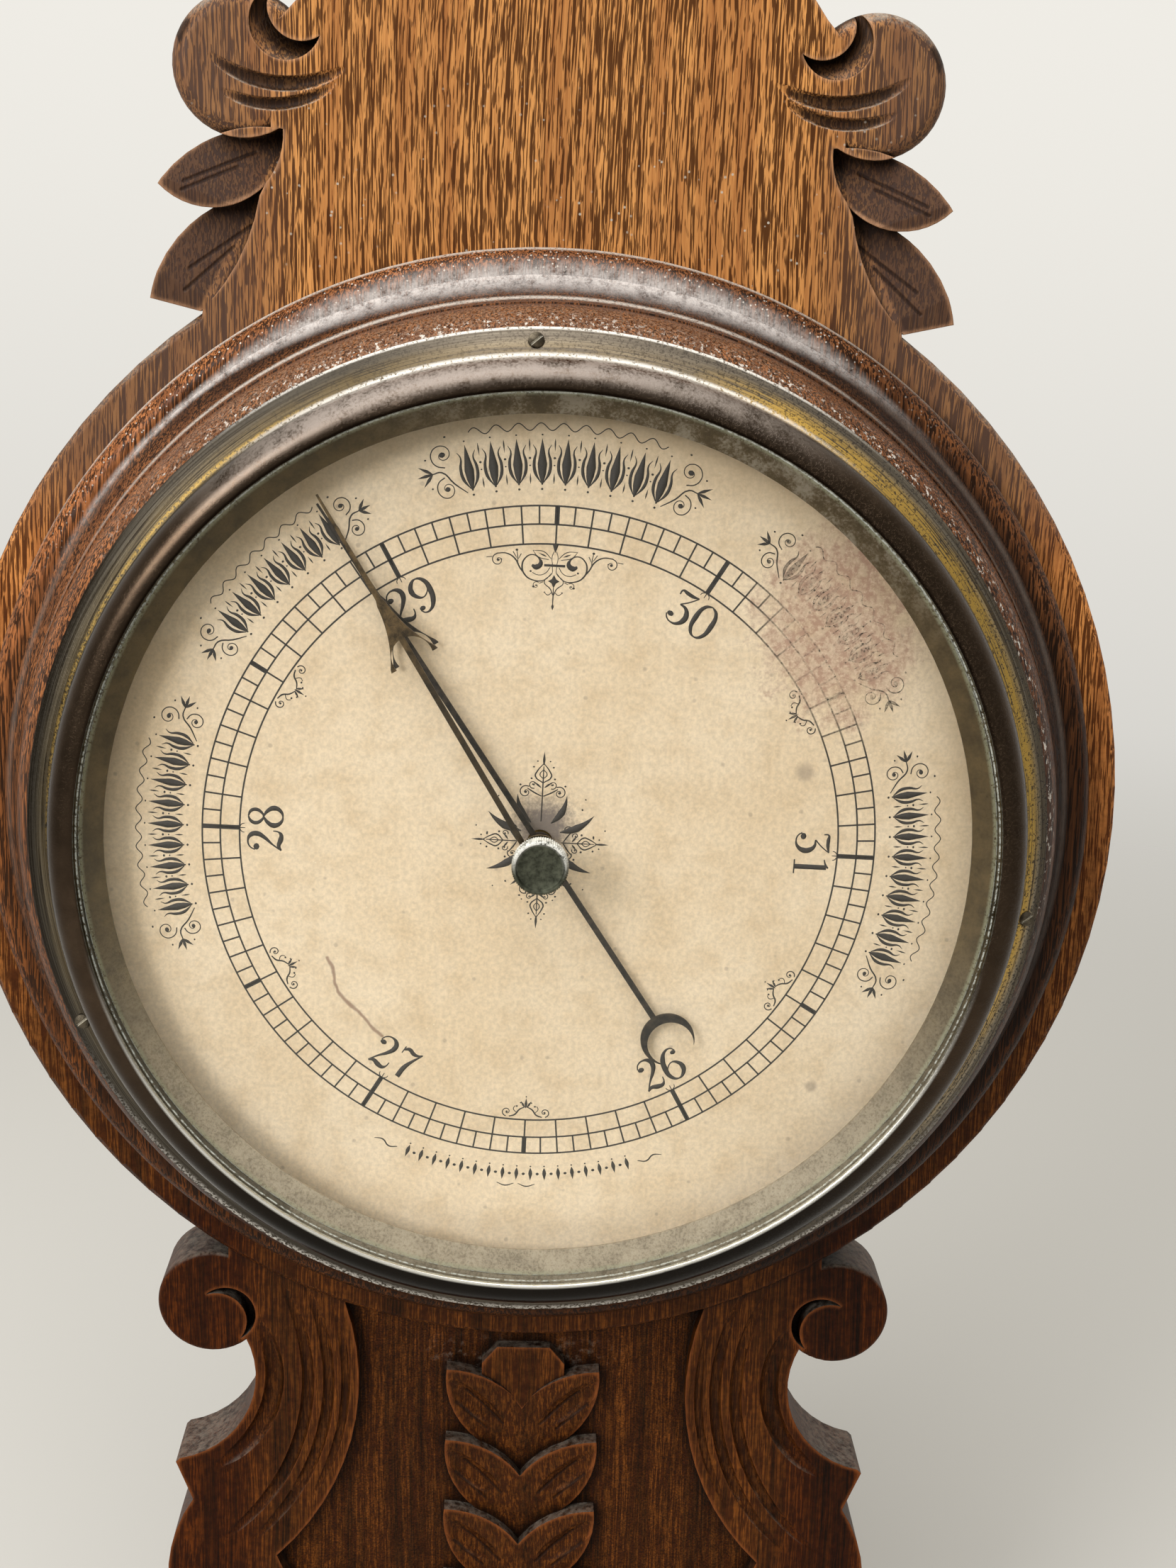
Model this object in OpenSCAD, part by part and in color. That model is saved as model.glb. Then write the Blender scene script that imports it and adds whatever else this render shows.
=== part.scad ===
// Banjo barometer: an aneroid wall barometer in a carved oak case, in millimetres.
// The front faces -Y, the back lies on the wall at y = 0, and +Z is up.
// Pieces are drawn round the dial's centre, then lowered so that the hanging eye is the origin.
// A value named ..._h is a height above the wall, towards the viewer.
// A circle of the carving is a list: x, z, radius.

/* [Case] */
// Diameter of the round part of the case
round_d = 287.2; // [282:0.2:300]
// Thickness of the case board
board_t = 22; // [20:0.5:26]
// Width of the straight neck
neck_w = 98; // [90:1:106]
// Top of the crest above the dial's centre
crest_z = 505; // [495:1:540]
// Lowest point of the case below the dial's centre
foot_drop = 292; // [288:1:305]
// Step from the round's face back to the carved apron
apron_step = 2.5; // [1:0.25:4]
// Depth of the sunk ground below the apron's face
ground_depth = 4.5; // [3:0.25:6]
// Depth of the hollows beside the volutes
hollow_depth = 4; // [2:0.25:6]
// Width across one pair of husks on the apron
husk_w = 41; // [36:1:44]
// Spacing of the husks down the apron
husk_pitch = 21; // [19:0.5:22]

/* [Dial] */
// Diameter of the dial that shows inside the sight ring
sight_d = 200.6; // [196:0.2:204]
// Diameter of the bezel's inner lip
lip_d = 211.6; // [209:0.2:214]
// Diameter of the bezel's flange
bezel_d = 237.6; // [234:0.2:242]
// Diameter of the turned surround's foot
surround_d = 271; // [266:0.5:276]
// Face of the dial above the case board
dial_rise = 28.5; // [27:0.5:34]
// Crest of the bezel above the dial's face
bezel_rise = 17; // [16:0.25:19]
// Thickness of the bezel's sheet brass
bezel_t = 1.2; // [0.8:0.1:1.5]
// Radius of the bezel's roll
roll_r = 6; // [5.5:0.1:6.5]
// Thickness of the dial glass
glass_t = 3; // [2:0.25:3.5]
// Thickness of the dial's metal plate
plate_t = 1.2; // [0.8:0.1:2]
// Thickness of the dial card
card_t = 0.5; // [0.3:0.1:0.8]

/* [Hands] */
// Length of the steel pointer from its axis to its tip
pointer_len = 94; // [80:1:96]
// Length of the steel pointer's tail to its crescent
pointer_tail = 51; // [40:1:60]
// Length of the brass set hand
set_hand_len = 96; // [86:1:97]
// Width of both hands' bars
hand_bar_w = 1.3; // [1.1:0.1:1.8]
// Thickness of both hands
hand_t = 0.8; // [0.5:0.1:1.2]
// Angle of the steel pointer at rest, clockwise from the top
pointer_angle = 326.2; // [0:0.1:360]
// Angle of the brass set hand at rest, clockwise from the top
set_hand_angle = 328.9; // [0:0.1:360]
// Stand of the set hand's blade beside its axis
set_hand_shift = 2.6; // [0:0.1:2.8]
// Diameter of the set hand's knob
knob_d = 13; // [11:0.5:15]

/* [Movement] */
// Diameter of the hole in the case for the movement
movement_bore_d = 144; // [132:1:150]
// Diameter of the movement's base plate
base_d = 116; // [114:1:124]
// Thickness of the movement's base plate
base_t = 2; // [1.5:0.25:3]
// Diameter of the corrugated capsule
capsule_d = 68; // [56:1:70]
// Thickness of the capsule
capsule_t = 10; // [8:0.5:12]
// Distance from the dial's centre to the mainspring's clamp
clamp_z = 26; // [25:0.5:28]
// Drop of the rocking shaft below the dial's centre
shaft_drop = 50; // [48:0.5:51]
// Length of the rocking shaft's short arm
short_arm = 5; // [4.5:0.1:6]
// Radius at which the chain winds on its drum
wind_r = 1.87; // [1.7:0.01:2.2]
// Thickness of the tin back cover
cover_t = 1; // [0.6:0.1:1.5]

/* [Thermometer] */
// Height of the thermometer's frame
therm_len = 176; // [160:1:190]
// Width of the thermometer's frame
therm_w = 46; // [40:1:56]
// Depth of the thermometer's frame
therm_t = 12; // [11:0.5:15]
// Width of the frame's sides
therm_side = 6; // [5:0.5:8]
// Diameter of the thermometer's tube
tube_d = 4.8; // [4:0.1:5.5]

/* [Hanging] */
// Diameter of the hole in the hanging eye
eye_d = 8; // [6:0.5:10]
// Rise of the hanging eye above the crest
eye_rise = 14; // [12:0.5:20]
// Width of the hanging plate
eye_plate_w = 22; // [18:1:28]
// Thickness of the hanging plate
eye_plate_t = 2; // [1.5:0.25:3]

/* [Fits] */
// Radial clearance of turning and screwed fits
fit = 0.05; // [0.03:0.01:0.08]
// Gap round pieces let into wood
inlay_gap = 0.3; // [0.1:0.05:0.5]
// Gap between pieces that move past each other
running_gap = 0.5; // [0.3:0.1:0.8]

/* [Hidden] */
$fn = 96;

oak = [0.52, 0.31, 0.13];
oak_dark = [0.33, 0.17, 0.08];
brass = [0.68, 0.52, 0.25];
dark_brass = [0.36, 0.29, 0.19];
steel = [0.45, 0.46, 0.48];
blued = [0.13, 0.13, 0.15];
cream = [0.90, 0.80, 0.62];
clear = [0.85, 0.92, 0.90, 0.35];

// Case outline: the carving hangs on two heights of the round's edge
round_r = round_d / 2;
shoulder_x = 82.5;
shoulder_z = sqrt(round_r * round_r - shoulder_x * shoulder_x);
apron_x = 86;
apron_z = -sqrt(round_r * round_r - apron_x * apron_x);
apron_h = board_t - apron_step;
ground_h = apron_h - ground_depth;
eye_z = crest_z + eye_rise;

neck_foot_x = 66;
neck_sweep_r = 50;
neck_sweep = [neck_w / 2 + neck_sweep_r, shoulder_z + 101.8, neck_sweep_r];
volute = [72.6, shoulder_z + 56.2, 16.3];
volute_round = 4;
upper_leaf = [[67.6, shoulder_z + 13.5, 29], [80, shoulder_z + 41, 16.8]];
lower_leaf = [[64.5, shoulder_z - 1.5, 30], [116, shoulder_z + 35, 48]];
leaf_base = [[shoulder_x - 1.5, shoulder_z + 0.4], [95, shoulder_z + 3.6]];
leaf_depth = 0.9;
leaf_tilts = [16.5, 12];
leaf_lean = 6;
crescent = [[62.7, shoulder_z + 65.5, 8.3], [59.2, shoulder_z + 69.1, 7.7]];
// Each gouge: x and z of its lowest point's centre, ring radius, tube radius, depth, tilt and turn
gouges = [
  [65, shoulder_z + 77.8, 25.7, 1.8, 1.4, 15.5, 4],
  [64, shoulder_z + 70.7, 23.1, 1.5, 1.2, 17, -5]
];

crest_dome_r = 50;
crest_dome = [0, crest_z - crest_dome_r, crest_dome_r];
crest_volute = [57, crest_z - 55, 15];
crest_flutes = 7;
crest_flute_r = 3.5;
crest_flute_tilt = 3.5;
crest_flute_step = 22;
crest_boss_r = 20;

curl = [82.4, apron_z - 22.2, 14.2];
curl_round = 1.2;
curl_hook = [[curl[0] - 3.6, curl[1] - 3.5, 7.8], [curl[0] - 1.1, curl[1] - 5.3, 8]];
waist = [96.4, apron_z - 43.5, 25.4];
flare = [[92.5, apron_z - 69.5], [85.5, apron_z - 87]];
strap = [117.6, apron_z - 45];
strap_edge_r = 74;
// Each flute: ring centre's x and z, ring radius, tube radius, depth, tilt and turn
flutes = [
  [waist[0], waist[1], waist[2] + 5, 2.6, 2.1, 12, 14],
  [strap[0], strap[1], 60.5, 1.7, 1.5, 5.5, 12],
  [strap[0], strap[1], 66, 1.6, 1.4, 5.9, 10],
  [strap[0], strap[1], 70.5, 1.2, 1, 8.7, 6]
];
lobe = [53, apron_z - 104, 42];
foot_r = 44;
foot = [0, foot_r - foot_drop, foot_r];
pocket = [0, apron_z - 73, 70];
husk_rows = 4;
husk_top = apron_z - 40.5;
husk_rise = 4.6;
husk_foot = -0.2;
husk_reach = husk_pitch + 14;
husk_arc_r = 24;
husk_side_r = 26;
husk_side_drop = 3;
husk_stem_w = 9;
husk_tail = 24;
husk_scoop_r = 4.5;
husk_scoop_depth = 1.7;
husk_scoop_sweep = 30;
stem_w = [22, 14];
stem_top = apron_z - 34.2;

// Dial stack, from the board outwards
dial_h = board_t + dial_rise;
plate_h = dial_h - card_t - plate_t;
sight_r = sight_d / 2;
lip_r = lip_d / 2;
bezel_r = bezel_d / 2;
crest_r = lip_r + 0.8;
wall_r = crest_r + roll_r;
surround_r = surround_d / 2;
surround_h = dial_h + 2.7;
roll_h = dial_h + bezel_rise - roll_r;
flange_h = dial_h + 7.5;
glass_r = lip_r + 2.2;
glass_h = roll_h + 1.1;
sight_t = 0.6;
sight_h = dial_h + 8.5;
dial_r = glass_r - inlay_gap;
ledge_r = dial_r - 8;
dial_hole_r = 3;
bezel_screw_r = bezel_r - 2.8;
bezel_screw_angles = [-2, 97, 247];
dial_screw_r = ledge_r + 5.7;
screw_r = 1.2;
screw_head_r = 1.75;

// Hands
pointer_h = dial_h + 1.8;
set_hand_h = dial_h + 7.5;
set_arbor_r = 2.2;
knob_h = glass_h + glass_t + running_gap;
knob_t = 6.7;
barb_r = 61;
barb_len = 10;
barb_half = 6;
barb_hollow = [31, 9, 30];
barb_notch = [0, -7, 4.8];
moon_r = 6.5;
moon_hollow_r = 5.6;
moon_shift = 1.4;
slot_turn = 40;

// Movement heights, from the wall outwards
back_gap = 0.5;
nut_t = 2.5;
base_h = cover_t + back_gap + nut_t;
base_top = base_h + base_t;
collar_t = 3;
capsule_h = base_top + collar_t;
capsule_top = capsule_h + capsule_t;
beam_h = capsule_top + 5;
beam_t = 6;
beam_top = beam_h + beam_t;
spring_t = 1.2;
spring_h = beam_top + 2 * fit;
spring_top = spring_h + spring_t;
lever_t = 1.5;
lever_top = spring_top + lever_t;
bridge_h = lever_top + 1.8;
bridge_t = 2;
bridge_top = bridge_h + bridge_t;
hair_h = bridge_top + 1;
hair_w = 1;
drum_h = hair_h + hair_w + 1;
drum_t = 4;
chain_h = drum_h + drum_t / 2;
cock_h = drum_h + drum_t + 0.6;
cock_t = 1.5;

// Movement plan
bore_r = movement_bore_d / 2;
cover_r = bore_r + 6;
base_r = base_d / 2;
pillar_r = 3;
pillar_ring = base_r - 6;
pillar_angles = [0, 120, 240];
capsule_r = capsule_d / 2;
stud_r = 3;
post_r = 2;
beam_w = 12;
leg_in = capsule_r - 7;
leg_w = 8;
tab_len = 10;
adjuster_z = clamp_z + beam_w + tab_len - 4;
adjuster_r = 2;
spring_tail = 4;
spring_tip = 8;
lever_x = -8;
lever_w = 4;
pin_r = 0.75;
shaft_r = 1.5;
shaft_h = base_top + 10;
shaft_half = 19;
link_z = -shaft_drop - short_arm;
link_t = 1;
link_x = lever_x + lever_w / 2 + 0.3;
lever_eye_h = spring_top + 0.7;
arm_t = 1;
chain_t = 0.6;
drum_r = wind_r - chain_t / 2 - 0.27;
chain_link_r = 0.6;
chain_links = 12;
chain_end_z = 2;
arm_x = wind_r - chain_t / 2 - running_gap - arm_t;
arbor_r = 1;
arbor_top_r = 0.9;
post_x = 45;
bridge_w = 14;
cock_pillar_x = 15;
hair_turns = 4;
hair_t = 0.25;
hair_r = [2.3, 11];

// Thermometer, centred on the straight neck
therm_z = (shoulder_z + 118 + crest_dome[1] - 40) / 2;
therm_lip = 2;
therm_glass_t = 1.5;
scale_t = 1.5;
tube_r = tube_d / 2;
tube_h = board_t + scale_t + tube_r + 0.1;
tube_len = therm_len - 50;
tube_z = therm_z - tube_len / 2 + 6;
bulb_r = tube_r + 1.5;
thread_r = 0.7;
thread_len = tube_len * 0.45;

// Children are drawn in (x, z, height) from a height above the wall
module facing(h = 0) translate([0, -h, 0]) rotate([90, 0, 0]) children();
module hung() translate([0, 0, -eye_z]) children();
module plate(h, t) facing(h) linear_extrude(t) children();
module rod(at, h, t, r) facing(h) translate(at) cylinder(h = t, r = r);
module turned() facing() rotate_extrude() children();
module disc(c) translate([c[0], c[1]]) circle(c[2]);
module both_sides() {
  children();
  mirror([1, 0, 0]) children();
}
// A point at a radius from the dial's centre, clockwise from the top
function clock(r, a) = [r * sin(a), r * cos(a)];
// A bar along x, at a place in (z, height)
module cross_bar(x, z, h, len, r) translate([x, -h, z]) rotate([0, 90, 0]) cylinder(h = len, r = r);
// A flat piece drawn in (z, height) and given a thickness along x
module side_plate(x, t) translate([x, 0, 0]) rotate([180, -90, 0]) linear_extrude(t) children();
// A round boss whose front edge is rounded over
module eased_boss(c, h, edge) facing() translate([c[0], c[1], 0]) rotate_extrude() {
  square([c[2], h - edge]);
  square([c[2] - edge, h]);
  translate([c[2] - edge, h - edge]) circle(edge);
}
// A screw of round shank and domed slotted head, its head's seat at a height
module round_screw(at, h, len, r, head_r) facing(h) translate(at) rotate([0, 0, slot_turn]) difference() {
  union() {
    translate([0, 0, -len]) cylinder(h = len + 0.2, r = r);
    intersection() {
      cylinder(h = head_r, r = head_r);
      translate([0, 0, -head_r * 1.4]) sphere(head_r * 1.9);
    }
  }
  translate([-head_r, -head_r * 0.14, head_r * 0.2]) cube([2 * head_r, head_r * 0.28, head_r]);
}
// A countersunk screw put in from the back, its head flush with a height
module sunk_screw(at, h, len, r, head_r) facing(h) translate(at) difference() {
  union() {
    cylinder(h = head_r - r, r1 = head_r, r2 = r);
    cylinder(h = len, r = r);
  }
  translate([-head_r, -r * 0.2, -1]) cube([2 * head_r, r * 0.4, 1.4]);
}

// Case outline pieces, seen from the front
module shoulder_outline() polygon([
  [0, 0], [shoulder_x, shoulder_z - 4], [shoulder_x - 0.6, shoulder_z + 1.2], [79, shoulder_z + 6.5],
  [73, shoulder_z + 16.5], [70, shoulder_z + 24.5], [neck_foot_x, shoulder_z + 32.5],
  [neck_foot_x, shoulder_z + 66], [0, shoulder_z + 66]
]);
module neck_outline() {
  difference() {
    translate([0, shoulder_z]) square([neck_foot_x, neck_sweep[1] - shoulder_z]);
    disc(neck_sweep);
  }
  translate([0, shoulder_z]) square([neck_w / 2, crest_dome[1] - shoulder_z]);
}
module upper_leaf_outline() intersection() {
  disc(upper_leaf[0]);
  disc(upper_leaf[1]);
}
module lower_leaf_outline() intersection() {
  disc(lower_leaf[0]);
  disc(lower_leaf[1]);
  polygon([leaf_base[0], leaf_base[1], [leaf_base[1][0], volute[1]], [60, volute[1]], [60, shoulder_z]]);
}
module head_outline() both_sides() {
  shoulder_outline();
  neck_outline();
  upper_leaf_outline();
  lower_leaf_outline();
}
module apron_outline() {
  both_sides() {
    difference() {
      polygon([
        [0, apron_z + 15], [78, apron_z], [78, apron_z - 31], [73, apron_z - 40], [73, apron_z - 50],
        flare[0], flare[1], [0, flare[1][1]]
      ]);
      disc(waist);
    }
    disc(lobe);
  }
  disc(foot);
}

// Cutters of the carving, in (x, z, height)
module leaf_sink(z, tilt) translate([lower_leaf[0][0], z, board_t - leaf_depth])
  rotate([-tilt, -leaf_lean, 0]) translate([-60, -60, 0]) cube([120, 120, 20]);
module leaf_cuts() facing() {
  intersection() {
    linear_extrude(board_t + 1) difference() {
      upper_leaf_outline();
      disc(volute);
    }
    leaf_sink(upper_leaf[1][1] - upper_leaf[1][2], leaf_tilts[0]);
  }
  intersection() {
    linear_extrude(board_t + 1) difference() {
      lower_leaf_outline();
      upper_leaf_outline();
    }
    leaf_sink(shoulder_z, leaf_tilts[1]);
  }
}
// The hollow's floor is deepest along its inner edge
module crescent_cut() intersection() {
  plate(board_t - hollow_depth, hollow_depth + 1) difference() {
    disc(crescent[0]);
    disc(crescent[1]);
  }
  facing(board_t) translate([crescent[1][0], crescent[1][1], 0]) rotate_extrude() polygon([
    [0, 1], [0, -hollow_depth], [crescent[1][2], -hollow_depth], [crescent[1][2] + 6, -0.2],
    [crescent[1][2] + 6, 1]
  ]);
}
// A gouge is a ring tipped so that it bites only along its lowest stretch
module gouge_cut(g) facing() translate([g[0], g[1] - g[2], board_t + g[3] - g[4]])
  rotate([0, 0, g[6]]) rotate([g[5], 0, 0]) translate([0, g[2], 0]) rotate_extrude()
    translate([g[2], 0]) circle(g[3]);
module flute_cuts() difference() {
  facing() for (f = flutes)
    translate([f[0], f[1], apron_h + f[3] - f[4]]) rotate([0, 0, f[6]])
      translate([-f[2], 0, 0]) rotate([0, -f[5], 0]) translate([f[2], 0, 0])
        rotate_extrude() translate([f[2], 0]) circle(f[3]);
  rod([0, 0], 0, board_t + 5, round_r + 0.5);
}
module pocket_cut() plate(ground_h, board_t) difference() {
  disc(pocket);
  both_sides() translate(strap) circle(strap_edge_r);
  circle(round_r);
}
module curl_hook_cut() plate(ground_h, board_t) difference() {
  disc(curl_hook[0]);
  disc(curl_hook[1]);
}
module crest_flute_cuts() facing() {
  span = (crest_flutes - 1) / 2;
  for (i = [-span:span])
    translate([crest_dome[0], crest_dome[1], board_t + crest_flute_r - 0.1])
      rotate([0, 0, i * crest_flute_step]) rotate([-90 - crest_flute_tilt, 0, 0]) translate([0, 0, crest_boss_r])
        cylinder(h = 2 * crest_dome_r, r = crest_flute_r);
}
// A petal's outer side draws in below its corner, and a stem runs down under the next pair
module husk_side(top, tail) {
  intersection() {
    translate([husk_w / 2 - husk_side_r, top - husk_side_drop]) circle(husk_side_r);
    translate([0, top - husk_reach]) square([husk_w, husk_reach + 1]);
  }
  translate([0, top - tail]) square([husk_stem_w, tail]);
}
// One husk: a pair of quarter-round petals that stand highest along their top edges
module husk(top, tail) both_sides() intersection() {
  plate(0, apron_h + 2) intersection() {
    union() {
      translate([husk_w / 2, top - husk_arc_r]) circle(husk_arc_r);
      translate([0, top - husk_reach]) square([husk_w / 2, husk_reach - husk_arc_r]);
    }
    husk_side(top, tail);
  }
  facing() difference() {
    translate([0, top, ground_h + husk_rise]) rotate([atan((husk_rise - husk_foot) / husk_reach), 0, 0])
      translate([-1, -husk_reach - 1, -ground_h - husk_rise]) cube([husk_w, husk_reach + 9, ground_h + husk_rise]);
    translate([husk_w * 0.27, top - husk_pitch * 0.6, ground_h + husk_rise - husk_scoop_depth - 1.4])
      rotate([0, 0, 42]) translate([0, 0, husk_scoop_sweep + husk_scoop_r]) rotate([90, 0, 0])
        rotate_extrude() translate([husk_scoop_sweep, 0]) circle(husk_scoop_r);
  }
}
module stem_cup() plate(0, ground_h + husk_rise - 1.2) difference() {
  polygon([
    [-stem_w[0] / 2, husk_top - 8], [-stem_w[0] / 2, husk_top + 1.5], [-stem_w[1] / 2, stem_top],
    [stem_w[1] / 2, stem_top], [stem_w[0] / 2, husk_top + 1.5], [stem_w[0] / 2, husk_top - 8],
    [0, husk_top - husk_arc_r / 2]
  ]);
  both_sides() translate([husk_w / 2, husk_top - husk_arc_r]) circle(husk_arc_r - 0.3);
}

module hanging_outline(gap = 0) {
  translate([0, eye_z]) circle(eye_plate_w / 2 + gap);
  translate([-eye_plate_w / 2 - gap, crest_z - hanging_tail - gap])
    square([eye_plate_w + 2 * gap, eye_rise + hanging_tail + gap]);
}
hanging_tail = 36;
hanging_screw_drop = [28, 10];
hanging_screw_z = [for (d = hanging_screw_drop) crest_z - d];
cover_screw_ring = bore_r + 3;
cover_screw_angles = [45, 135, 225, 315];
frame_screw_at = [for (x = [-1, 1], z = [-1, 1])
  [x * (therm_w - therm_side) / 2, therm_z + z * (therm_len - therm_side) / 2]];

module case_board() color(oak) difference() {
  union() {
    eased_boss([0, 0, round_r], board_t, 1.5);
    plate(0, board_t) head_outline();
    both_sides() eased_boss(volute, board_t, volute_round);
    both_sides() eased_boss(crest_volute, board_t, volute_round);
    rod([crest_dome[0], crest_dome[1]], 0, board_t, crest_dome_r);
    difference() {
      union() {
        plate(0, apron_h) apron_outline();
        both_sides() eased_boss(curl, apron_h, curl_round);
      }
      pocket_cut();
      both_sides() flute_cuts();
      both_sides() curl_hook_cut();
    }
    for (i = [0:husk_rows - 1])
      husk(husk_top - i * husk_pitch, i < husk_rows - 1 ? husk_reach : husk_tail);
    stem_cup();
  }
  rod([0, 0], -1, board_t + 2, bore_r);
  rod([0, 0], -1, 1 + cover_t, cover_r + inlay_gap);
  both_sides() {
    leaf_cuts();
    crescent_cut();
    for (g = gouges) gouge_cut(g);
  }
  crest_flute_cuts();
  plate(-1, 1 + eye_plate_t) hanging_outline(inlay_gap);
  for (z = hanging_screw_z) rod([0, z], 0, 16, 1.5 + fit);
  for (a = cover_screw_angles) rod(clock(cover_screw_ring, a), 0, 10, screw_r + fit);
  for (at = frame_screw_at) rod(at, board_t - 10, 12, screw_r + fit);
}

module dial_surround() color(oak) difference() {
  turned() difference() {
    union() {
      translate([ledge_r, board_t]) square([surround_r - 4.5 - ledge_r, 8.5]);
      translate([ledge_r, board_t]) square([surround_r - ledge_r, 4]);
      intersection() {
        translate([surround_r - 4.5, board_t + 4]) circle(4.5);
        translate([surround_r - 6, board_t + 3]) square(8);
      }
      difference() {
        translate([ledge_r, board_t + 8]) square([surround_r - 6 - ledge_r, surround_h - 10.9 - board_t - 8]);
        translate([surround_r + 1.3, surround_h - 11.6]) circle(13);
      }
      intersection() {
        translate([ledge_r, surround_h - 11.2]) square([bezel_r + 6 - ledge_r, 11.2]);
        translate([bezel_r - 8.8, surround_h - 10.2]) circle(13.4);
      }
      translate([ledge_r, surround_h - 11.2]) square([bezel_r - 7 - ledge_r, 11.2]);
    }
    translate([ledge_r - 1, plate_h]) square([dial_r + inlay_gap - ledge_r + 1, surround_h]);
  }
  for (a = bezel_screw_angles) rod(clock(bezel_screw_r, a), surround_h - 9, 10, screw_r + fit);
  for (a = pillar_angles) rod(clock(dial_screw_r, a), plate_h - 6, 7, screw_r + fit);
}

bezel_screw_h = surround_h + bezel_t
  + (flange_h - surround_h - bezel_t) * (bezel_r - bezel_screw_r) / (bezel_r - wall_r);
module bezel() color(brass) difference() {
  turned() difference() {
    union() {
      intersection() {
        translate([crest_r, roll_h]) circle(roll_r);
        translate([lip_r, roll_h]) square(2 * roll_r);
      }
      translate([wall_r - bezel_t, flange_h - bezel_t]) square([bezel_t, roll_h - flange_h + bezel_t]);
      polygon([
        [bezel_r, surround_h], [bezel_r, surround_h + bezel_t], [wall_r, flange_h],
        [wall_r - bezel_t, flange_h], [wall_r - bezel_t, flange_h - bezel_t], [bezel_r - bezel_t, surround_h]
      ]);
    }
    translate([crest_r, roll_h]) circle(roll_r - bezel_t);
  }
  for (a = bezel_screw_angles) {
    rod(clock(bezel_screw_r, a), surround_h - 1, 12, screw_r + fit);
    rod(clock(bezel_screw_r, a), bezel_screw_h, 12, screw_head_r + 2 * fit);
  }
}

module bezel_screws() color(brass) for (a = bezel_screw_angles)
  round_screw(clock(bezel_screw_r, a), bezel_screw_h, bezel_screw_h - surround_h + 8, screw_r, screw_head_r);

module dial_glass() color(clear) difference() {
  rod([0, 0], glass_h, glass_t, glass_r);
  rod([0, 0], glass_h - 1, glass_t + 2, set_arbor_r + fit);
}

module sight_ring() color(dark_brass) turned() polygon([
  [sight_r, sight_h], [lip_r - 0.2, glass_h - sight_t], [wall_r - bezel_t - inlay_gap, glass_h - sight_t],
  [wall_r - bezel_t - inlay_gap, glass_h], [lip_r - 0.4, glass_h], [sight_r, sight_h + sight_t]
]);

module dial_disc(h, t) difference() {
  rod([0, 0], h, t, dial_r);
  rod([0, 0], h - 1, t + 2, dial_hole_r);
  for (a = pillar_angles) rod(clock(dial_screw_r, a), h - 1, t + 2, screw_r + fit);
}
module dial_card() color(cream) dial_disc(plate_h + plate_t, card_t);
module dial_plate() color(steel) dial_disc(plate_h, plate_t);
module dial_screws() color(brass) for (a = pillar_angles)
  round_screw(clock(dial_screw_r, a), dial_h, card_t + plate_t + 5, screw_r, screw_head_r);

// A hand's blade drawn pointing up: a bar, an arrow with two hooked barbs, and a long needle
module hand_blade(tip) {
  translate([-hand_bar_w / 2, 0]) square([hand_bar_w, barb_r]);
  polygon([
    [-hand_bar_w / 2, barb_r + barb_len - 3], [hand_bar_w / 2, barb_r + barb_len - 3],
    [hand_bar_w / 6, tip], [-hand_bar_w / 6, tip]
  ]);
  difference() {
    polygon([[0, barb_r + barb_len], [-barb_half, barb_r - 8], [barb_half, barb_r - 8]]);
    both_sides() translate([barb_hollow[0], barb_r + barb_hollow[1]]) circle(barb_hollow[2]);
    translate([0, barb_r + barb_notch[1]]) circle(barb_notch[2]);
  }
}
module moon_outline() difference() {
  translate([0, -pointer_tail - moon_r]) circle(moon_r);
  translate([0, -pointer_tail - moon_r - moon_shift]) circle(moon_hollow_r);
}
module pointer() color(blued) difference() {
  union() {
    facing(pointer_h) rotate([0, 0, -pointer_angle]) linear_extrude(hand_t) {
      circle(3);
      hand_blade(pointer_len);
      translate([-hand_bar_w / 2, -pointer_tail - 0.6]) square([hand_bar_w, pointer_tail + 0.6]);
      moon_outline();
    }
    rod([0, 0], pointer_h - 0.5, hand_t + 1.6, 2.4);
  }
  rod([0, 0], pointer_h - 1, hand_t + 2.5, arbor_top_r + fit);
}
module set_hand() color(dark_brass) difference() {
  union() {
    facing(set_hand_h) rotate([0, 0, -set_hand_angle]) linear_extrude(hand_t) {
      circle(4);
      translate([-set_hand_shift, 0]) hand_blade(set_hand_len);
    }
    rod([0, 0], set_hand_h - 0.4, hand_t + 1, 3.6);
  }
  rod([0, 0], set_hand_h - 1, hand_t + 3, set_arbor_r - 0.6 + fit);
}
module set_arbor() color(brass) {
  rod([0, 0], set_hand_h - 0.6, hand_t + 2, set_arbor_r - 0.6);
  rod([0, 0], set_hand_h + hand_t + 0.6, knob_h + 2 - set_hand_h - hand_t - 0.6, set_arbor_r);
}
// The knob: a milled head with a dished face, on a short boss over the glass
module set_knob() color(dark_brass) turned() difference() {
  union() {
    translate([0, knob_h]) square([knob_d * 0.3, knob_t - 1]);
    translate([0, knob_h + 2.4]) square([knob_d / 2 - 0.6, knob_t - 2.4]);
    translate([0, knob_h + 3]) square([knob_d / 2, knob_t - 3.6]);
    translate([knob_d / 2 - 0.6, knob_h + 3]) circle(0.6);
    translate([knob_d / 2 - 0.6, knob_h + knob_t - 0.6]) circle(0.6);
  }
  translate([0, knob_h + knob_t + 15.4]) circle(16.4);
  translate([0, knob_h - 1]) square([set_arbor_r + fit, 3]);
  translate([-knob_d, 0]) square([knob_d, 2 * dial_h]);
}
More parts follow.
